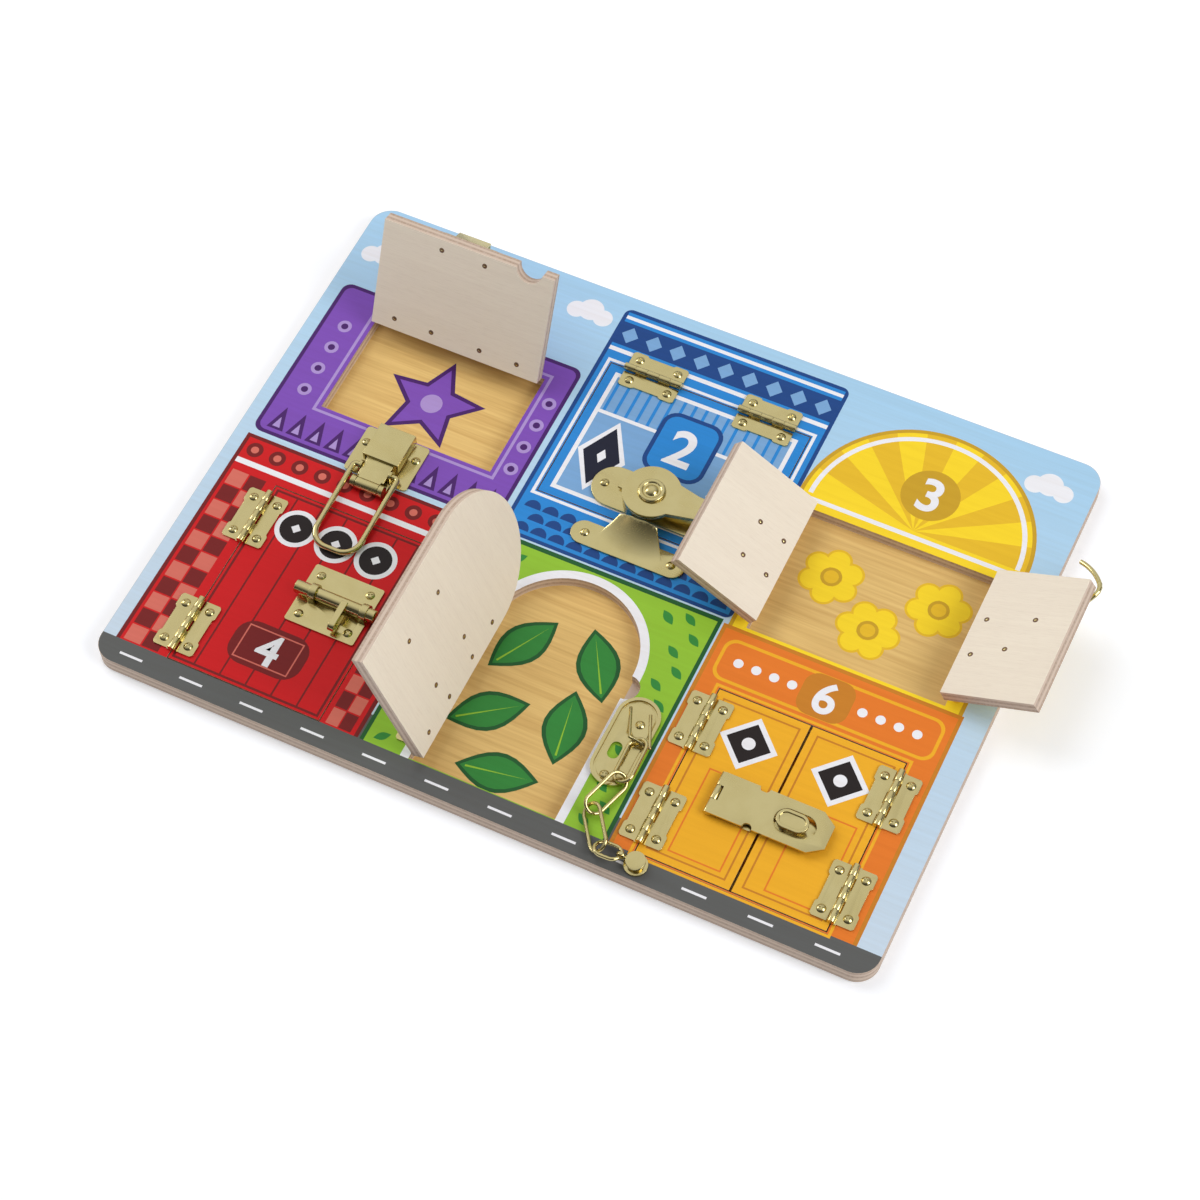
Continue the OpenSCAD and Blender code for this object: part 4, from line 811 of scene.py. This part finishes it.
for mark, amount in ((smear, SMEAR_ROUGH), (scuff, SCUFF_ROUGH)):
    polish = math_node(brass_tree, "ADD", polish, math_node(brass_tree, "MULTIPLY", mark, amount))
brass_tree.links.new(polish, brass_out.inputs["Roughness"])
brass_tree.links.new(scuff, brass_out.inputs["Height"])
BRIGHT = linear(216, 202, 146)
DULL = linear(202, 184, 120)
sheet_brass = surface(
    "sheet_brass", brass_tree, {"Bright": BRIGHT, "Dull": DULL, "Polish": 0.2}, bump=0.04, metallic=1.0
)
wire_brass = surface(
    "wire_brass", brass_tree, {"Bright": BRIGHT, "Dull": DULL, "Polish": 0.13}, bump=0.03, metallic=1.0
)

BODY_OF = {node: body for body, members in frame["record"]["behaviour"]["bodies"].items() for node in members}
WELD = 2e-6
FLAT, CREASE, SMOOTH = math.radians(0.6), math.radians(32), math.radians(44)


def eased(node, material, edge):
    """A copy of a solid with its sharp edges eased, as stamped or turned brass has them."""
    mesh = nodes[node].data.copy()
    work = bmesh.new()
    work.from_mesh(mesh)
    bmesh.ops.remove_doubles(work, verts=work.verts, dist=WELD)
    bmesh.ops.dissolve_limit(
        work, angle_limit=FLAT, verts=work.verts, edges=work.edges, use_dissolve_boundaries=False
    )
    work.to_mesh(mesh)
    work.free()
    mesh.materials.clear()
    mesh.materials.append(material)
    piece = bpy.data.objects.new(node + "_eased", mesh)
    bpy.context.scene.collection.objects.link(piece)
    if edge:
        soft = piece.modifiers.new("eased", "BEVEL")
        soft.width = edge * MM
        soft.segments = 2
        soft.limit_method = "ANGLE"
        soft.angle_limit = CREASE
        bpy.context.view_layer.update()
        made = bpy.data.meshes.new_from_object(piece.evaluated_get(bpy.context.evaluated_depsgraph_get()))
        piece.modifiers.clear()
        piece.data = made
    piece.data.shade_smooth()
    piece.data.set_sharp_from_angle(angle=SMOOTH)
    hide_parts(node)
    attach(piece, BODY_OF[node])


# Hinges: stamped brass butt hinges with rolled knuckles on a plain pin.
# One leaf is screwed to the front panel and the other to a door.
for node in ("frame_leaves", "door_1_leaves", "door_2_leaves", "door_3_left_leaf", "door_3_right_leaf",
             "door_4_leaves", "door_5_leaves", "door_6_left_leaves", "door_6_right_leaves"):
    eased(node, sheet_brass, edge=0.06)
eased("hinge_pins", wire_brass, edge=0.2)

# Screws: domed brass heads with a cross recess, driven through each plate into the plywood.
# In the doors their points just break through the back and lift a little fibre; its dark brown is painted
# shade of the pit round each point.
HEAD, DOME, RECESS = 2.3, 1.1, 0.55
SLOT_LONG, SLOT_WIDE, SLOT_HIGH = 2.5, 0.62, 2.0
BURR, BURR_TOP, BURR_HIGH = 1.35, 0.7, 0.1
TIP_WIDE, TIP_TOP, TIP_HIGH = 0.8, 0.15, 0.22
POINT_LOW = 0.2
CROWN = 0.02
BLOCK = 20
SEED = 7
HEAD_SMOOTH = math.radians(35)


def islands(mesh):
    """Separate solids of a mesh of loose triangles, each as a list of its corner points."""
    owner, found = {}, {}

    def root(key):
        while owner[key] != key:
            owner[key] = owner[owner[key]]
            key = owner[key]
        return key

    keys = [tuple(round(c, 6) for c in v.co) for v in mesh.vertices]
    for key in keys:
        owner.setdefault(key, key)
    for polygon in mesh.polygons:
        first = root(keys[polygon.vertices[0]])
        for i in polygon.vertices[1:]:
            owner[root(keys[i])] = first
    for key in owner:
        found.setdefault(root(key), []).append(Vector(key))
    return list(found.values())


def screw_places(node, facing):
    """Seat of each screw's head and point of its shank, from the solids of a screw node."""
    seats, points = [], []
    for corners in islands(nodes[node].data):
        heights = [p.dot(facing) for p in corners]
        high, low = max(heights), min(heights)
        crown = [p for p, h in zip(corners, heights) if h > high - CROWN * MM]
        tip = [p for p, h in zip(corners, heights) if h < low + CROWN * MM]
        seats.append(sum(crown, Vector()) / len(crown) - facing * DOME * MM)
        points.append(sum(tip, Vector()) / len(tip))
    order = sorted(range(len(seats)), key=lambda i: tuple(round(c, 5) for c in seats[i]))
    return [seats[i] for i in order], [points[i] for i in order]


def geometry_tree(name, inputs):
    tree = bpy.data.node_groups.new(name, "GeometryNodeTree")
    tree.is_modifier = True
    tree.interface.new_socket(name="Places", in_out="INPUT", socket_type="NodeSocketGeometry")
    for label, kind, value in inputs:
        socket = tree.interface.new_socket(name=label, in_out="INPUT", socket_type=kind)
        if value is not None:
            socket.default_value = value
    tree.interface.new_socket(name="Made", in_out="OUTPUT", socket_type="NodeSocketGeometry")
    return tree, tree.nodes.new("NodeGroupInput"), tree.nodes.new("NodeGroupOutput")


def add(tree, kind, links=(), **settings):
    node = tree.nodes.new(kind)
    for label, value in settings.items():
        setattr(node, label, value)
    for socket, value in links:
        if isinstance(value, bpy.types.NodeSocket):
            tree.links.new(value, node.inputs[socket])
        else:
            node.inputs[socket].default_value = value
    return node


def moved(tree, geometry, offset):
    shift = add(tree, "ShaderNodeCombineXYZ", [("Z", offset)])
    links = [("Geometry", geometry), ("Translation", shift.outputs[0])]
    return add(tree, "GeometryNodeTransform", links).outputs[0]


def turned_on_places(tree, enter, geometry, spin):
    """Sets one shape on every place, facing along the place's own direction."""
    facing = add(tree, "GeometryNodeInputNamedAttribute", [("Name", "facing")], data_type="FLOAT_VECTOR")
    align = add(tree, "FunctionNodeAlignRotationToVector", [("Vector", facing.outputs[0])], axis="Z")
    angle = add(tree, "FunctionNodeRandomValue", [(2, 0.0), (3, spin), ("Seed", SEED)], data_type="FLOAT")
    about = add(tree, "FunctionNodeAxisAngleToRotation", [("Axis", (0, 0, 1)), ("Angle", angle.outputs[1])])
    rotation = add(
        tree, "FunctionNodeRotateRotation", [("Rotation", align.outputs[0]), ("Rotate By", about.outputs[0])],
        rotation_space="LOCAL",
    )
    placed = add(
        tree, "GeometryNodeInstanceOnPoints",
        [("Points", enter.outputs["Places"]), ("Instance", geometry), ("Rotation", rotation.outputs[0])],
    )
    return add(tree, "GeometryNodeRealizeInstances", [("Geometry", placed.outputs[0])]).outputs[0]


screw_tree, screw_in, screw_out = geometry_tree("cross_head_screws", [
    ("Head", "NodeSocketFloat", HEAD * MM), ("Dome", "NodeSocketFloat", DOME * MM),
    ("Recess", "NodeSocketFloat", RECESS * MM), ("Metal", "NodeSocketMaterial", None),
])
head_sq = math_node(screw_tree, "MULTIPLY", screw_in.outputs["Head"], screw_in.outputs["Head"])
dome_sq = math_node(screw_tree, "MULTIPLY", screw_in.outputs["Dome"], screw_in.outputs["Dome"])
ball = math_node(
    screw_tree, "DIVIDE", math_node(screw_tree, "ADD", head_sq, dome_sq),
    math_node(screw_tree, "MULTIPLY", screw_in.outputs["Dome"], 2.0),
)
sphere = add(screw_tree, "GeometryNodeMeshUVSphere", [("Segments", 28), ("Rings", 22), ("Radius", ball)])
ball_low = math_node(screw_tree, "SUBTRACT", screw_in.outputs["Dome"], ball)
sphere = moved(screw_tree, sphere.outputs["Mesh"], ball_low)
block = add(screw_tree, "GeometryNodeMeshCube", [("Size", (BLOCK * MM,) * 3)])
block = moved(screw_tree, block.outputs["Mesh"], BLOCK / 2 * MM)
cap = add(screw_tree, "GeometryNodeMeshBoolean", operation="INTERSECT", solver="EXACT")
screw_tree.links.new(sphere, cap.inputs["Mesh 2"])
screw_tree.links.new(block, cap.inputs["Mesh 2"])
slot_z = math_node(screw_tree, "SUBTRACT", screw_in.outputs["Dome"], screw_in.outputs["Recess"])
slot_z = math_node(screw_tree, "ADD", slot_z, SLOT_HIGH / 2 * MM)
recess = add(screw_tree, "GeometryNodeMeshBoolean", [("Mesh 1", cap.outputs[0])], operation="DIFFERENCE",
             solver="EXACT")
for long, wide in ((SLOT_LONG, SLOT_WIDE), (SLOT_WIDE, SLOT_LONG)):
    bar = add(screw_tree, "GeometryNodeMeshCube", [("Size", (long * MM, wide * MM, SLOT_HIGH * MM))])
    screw_tree.links.new(moved(screw_tree, bar.outputs["Mesh"], slot_z), recess.inputs["Mesh 2"])
set_heads = turned_on_places(screw_tree, screw_in, recess.outputs[0], math.pi)
metal = add(
    screw_tree, "GeometryNodeSetMaterial", [("Geometry", set_heads), ("Material", screw_in.outputs["Metal"])]
)
screw_tree.links.new(metal.outputs[0], screw_out.inputs[0])

point_tree, point_in, point_out = geometry_tree("screw_points", [
    ("Burr", "NodeSocketFloat", BURR * MM), ("Metal", "NodeSocketMaterial", None),
    ("PitShadeFibre", "NodeSocketMaterial", None),
])
cone = add(point_tree, "GeometryNodeMeshCone", [
    ("Vertices", 14), ("Radius Top", TIP_TOP * MM), ("Radius Bottom", TIP_WIDE * MM),
    ("Depth", TIP_HIGH * MM),
])
burr = add(point_tree, "GeometryNodeMeshCone", [
    ("Vertices", 11), ("Radius Top", BURR_TOP * MM), ("Radius Bottom", point_in.outputs["Burr"]),
    ("Depth", BURR_HIGH * MM),
])
point_join = add(point_tree, "GeometryNodeJoinGeometry")
for shape, stuff in ((cone, "Metal"), (burr, "PitShadeFibre")):
    links = [("Geometry", shape.outputs["Mesh"]), ("Material", point_in.outputs[stuff])]
    point_tree.links.new(add(point_tree, "GeometryNodeSetMaterial", links).outputs[0], point_join.inputs[0])
point_tree.links.new(
    turned_on_places(point_tree, point_in, point_join.outputs[0], 2 * math.pi), point_out.inputs[0]
)


def set_on_places(name, tree, places, facing, values):
    """Runs a geometry tree on points that all face one way and returns the result as a plain mesh piece."""
    mesh = bpy.data.meshes.new(name)
    mesh.from_pydata([tuple(p) for p in places], [], [])
    way = mesh.attributes.new("facing", "FLOAT_VECTOR", "POINT")
    way.data.foreach_set("vector", [c for _ in places for c in facing])
    piece = bpy.data.objects.new(name, mesh)
    bpy.context.scene.collection.objects.link(piece)
    make = piece.modifiers.new("make", "NODES")
    make.node_group = tree
    keys = {s.name: s.identifier for s in tree.interface.items_tree if s.in_out == "INPUT"}
    for label, value in values.items():
        make[keys[label]] = value
    bpy.context.view_layer.update()
    made = bpy.data.meshes.new_from_object(piece.evaluated_get(bpy.context.evaluated_depsgraph_get()))
    piece.modifiers.clear()
    piece.data = made
    made.shade_smooth()
    made.set_sharp_from_angle(angle=HEAD_SMOOTH)
    return piece


# the lifted fibre's dark browns are painted shade of the pit round each screw point, darker than the wood
# itself
pit_shade_fibre = surface(
    "fibre_painted_pit_shade", ply_tree,
    {"Back": 0.0, "Ply": 0.004, "Edge": linear(120, 84, 52), "Core": linear(92, 62, 38)}, bump=0.6,
)
OUTWARD = Vector((0, 0, 1))
for node in ("frame_screws", *(door + "_screws" for door in DOOR_NAMES)):
    body = BODY_OF[node]
    facing = OUTWARD if body == "board" else (swing(body).to_3x3() @ OUTWARD).normalized()
    seats, points = screw_places(node, facing)
    heads = set_on_places(node + "_heads", screw_tree, seats, facing, {"Metal": sheet_brass})
    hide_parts(node)
    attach(heads, body)
    if body != "board":
        raised = [q + facing * POINT_LOW * MM for q in points]
        # the burr round each point carries the painted pit shade
        tips = set_on_places(
            node + "_points", point_tree, raised, -facing, {"Metal": sheet_brass, "PitShadeFibre": pit_shade_fibre}
        )
        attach(tips, body)

# Draw latch: a folded sheet base, a hooded lever on a pin, a bent wire loop and a catch on door 1.
# The loop is thrown over the catch and the lever pulls it tight.
for node in ("draw_base", "draw_lever", "draw_catch"):
    eased(node, sheet_brass, edge=0.2)
eased("draw_pin", wire_brass, edge=0.15)
eased("draw_loop", wire_brass, edge=0)

# Sash lock: a cast base and cam held by a domed rivet on door 2, and a flared keeper on the board.
# Turning the lever brings the tongue of the cam under the keeper.
eased("sash_base", sheet_brass, edge=0.3)
eased("sash_cam", sheet_brass, edge=0.4)
eased("sash_rivet", sheet_brass, edge=0.1)
eased("sash_keeper", sheet_brass, edge=0.3)

# Hook and eye: stamped plates, a turned post and drawn wire, one half on each leaf of doors 3.
# The hook swings on its post and drops into the ring of the eye when both leaves are shut.
eased("hook_eye", sheet_brass, edge=0.15)
eased("hook_plate", sheet_brass, edge=0.15)
eased("hook", wire_brass, edge=0)

# Slide bolt: a stamped plate with two rolled straps, a turned rod with a flag handle, and a keeper.
# The rod slides in the straps on door 4 and its end goes into the keeper on the front panel.
eased("bolt_plate", sheet_brass, edge=0.15)
eased("slide_bolt", wire_brass, edge=0.3)
eased("bolt_keeper", sheet_brass, edge=0.15)

# Door chain: a stamped anchor with a wire bow, four wire links, a turned button and a slotted track.
# The bow and the links are bent from drawn wire; the button slips into the slot of the track.
eased("chain_anchor", sheet_brass, edge=0.15)
for link in ("chain_link_1", "chain_link_2", "chain_link_3", "chain_link_4"):
    eased(link, wire_brass, edge=0)
eased("chain_button", wire_brass, edge=0.25)
eased("chain_track", sheet_brass, edge=0.2)

# Hasp: a stamped strap on a rolled hinge across both doors 6, and an oval button on a post.
# The strap drops over the button, which turns a quarter to hold it.
for node in ("hasp_plate", "hasp_strap", "staple_plate", "turn_button"):
    eased(node, sheet_brass, edge=0.2)
eased("hasp_pin", wire_brass, edge=0.15)

# Studio: the board lies on a white floor under soft light from above, seen as in the photograph.
# The floor takes the board's shadow near by and is plain white to the camera farther off.
floor_mesh = bpy.data.meshes.new("studio_floor")
REACH, FLOOR_Z = 6.0, -0.0002
FLOOR_WHITE = (0.88, 0.9, 0.94, 1)
floor_mesh.from_pydata([(x, y, FLOOR_Z) for x, y in box(-REACH, -REACH, REACH, REACH)], [], [(0, 1, 2, 3)])
studio_floor = bpy.data.objects.new("studio_floor", floor_mesh)
bpy.context.scene.collection.objects.link(studio_floor)
floor_paint = bpy.data.materials.new("floor_paint")
floor_paint.use_nodes = True
paint = floor_paint.node_tree
paint_shader = paint.nodes["Principled BSDF"]
paint_shader.inputs["Base Color"].default_value = FLOOR_WHITE
paint_shader.inputs["Roughness"].default_value = 0.9
paint_shader.inputs["Specular IOR Level"].default_value = 0.1
paint_shader.inputs["Emission Color"].default_value = (1, 1, 1, 1)
LIFT = 0.2
FADE_FROM, FADE_TO = 0.5, 1.6
paint_way = paint.nodes.new("ShaderNodeLightPath")
paint_place = paint.nodes.new("ShaderNodeTexCoord")
far_off = paint.nodes.new("ShaderNodeVectorMath")
far_off.operation = "LENGTH"
paint.links.new(paint_place.outputs["Object"], far_off.inputs[0])
glow = math_node(paint, "ADD", ramp(paint, far_off.outputs["Value"], low=FADE_FROM, high=FADE_TO), LIFT)
glow = math_node(paint, "MULTIPLY", paint_way.outputs["Is Camera Ray"], glow)
paint.links.new(glow, paint_shader.inputs["Emission Strength"])
floor_mesh.materials.append(floor_paint)


def soft_lamp(name, place, size, power, shown):
    lamp = bpy.data.lights.new(name, "AREA")
    lamp.shape = "DISK"
    lamp.size = size
    lamp.energy = power
    holder = bpy.data.objects.new(name, lamp)
    holder.location = place
    holder.rotation_euler = (-Vector(place)).to_track_quat("-Z", "Y").to_euler()
    holder.visible_glossy = shown
    bpy.context.scene.collection.objects.link(holder)


# the key is left out of reflections, so that flat brass shows no glare
soft_lamp("key", (-0.98, 0.39, 1.64), size=1.5, power=12.8, shown=False)
soft_lamp("side", (1.6, -0.05, 1.3), size=1.3, power=20, shown=True)
soft_lamp("edge", (-1.8, 0.15, 0.8), size=0.8, power=8.5, shown=True)

world = bpy.data.worlds.new("studio")
bpy.context.scene.world = world
world.use_nodes = True
sky = world.node_tree
backdrop = sky.nodes["Background"]
backdrop.inputs["Color"].default_value = (1, 1, 1, 1)
AMBIENT = 0.4
GLOSS_LOW, GLOSS_HIGH = 0.06, 0.8
BRIGHT_SIDE = (-0.35, 0.5, 0.79)
BRIGHT_FROM, BRIGHT_TO = 0.25, 0.9
way = sky.nodes.new("ShaderNodeLightPath")
looking = sky.nodes.new("ShaderNodeTexCoord")
toward = sky.nodes.new("ShaderNodeVectorMath")
toward.operation = "DOT_PRODUCT"
sky.links.new(looking.outputs["Generated"], toward.inputs[0])
toward.inputs[1].default_value = BRIGHT_SIDE
gloss = ramp(sky, toward.outputs["Value"], low=BRIGHT_FROM, high=BRIGHT_TO)
gloss = math_node(sky, "MULTIPLY", gloss, GLOSS_HIGH - GLOSS_LOW)
gloss = math_node(sky, "ADD", gloss, GLOSS_LOW)
seen = math_node(sky, "MAXIMUM", way.outputs["Is Camera Ray"], way.outputs["Is Transmission Ray"])
strength = math_node(sky, "ADD", seen, math_node(sky, "MULTIPLY", way.outputs["Is Glossy Ray"], gloss))
plain = math_node(sky, "SUBTRACT", 1.0, math_node(sky, "MAXIMUM", seen, way.outputs["Is Glossy Ray"]))
strength = math_node(sky, "ADD", strength, math_node(sky, "MULTIPLY", plain, AMBIENT))
sky.links.new(strength, backdrop.inputs["Strength"])

# camera fitted to the photograph; the focal length and half the width are in its pixels
AZIMUTH, ELEVATION, ROLL = math.radians(27.750), math.radians(58.699), math.radians(-2.573)
DISTANCE, AIM = 1.3573, Vector((0.00701, -0.02073, 0.009))
FOCAL, HALF_WIDTH = 2894.4, 600
flat = math.cos(ELEVATION)
back = Vector((math.sin(AZIMUTH) * flat, -math.cos(AZIMUTH) * flat, math.sin(ELEVATION)))
right = Vector((math.cos(AZIMUTH), math.sin(AZIMUTH), 0))
above = back.cross(right)
right_rolled = right * math.cos(ROLL) + above * math.sin(ROLL)
above_rolled = above * math.cos(ROLL) - right * math.sin(ROLL)
lens = bpy.data.cameras.new("camera")
lens.sensor_fit = "HORIZONTAL"
lens.angle = 2 * math.atan(HALF_WIDTH / FOCAL)
lens.clip_start = 0.01
camera = bpy.data.objects.new("camera", lens)
turn = Matrix((right_rolled, above_rolled, back)).transposed()
camera.matrix_world = Matrix.Translation(AIM + back * DISTANCE) @ turn.to_4x4()
bpy.context.scene.collection.objects.link(camera)
bpy.context.scene.camera = camera
bpy.context.scene.view_settings.view_transform = "Standard"
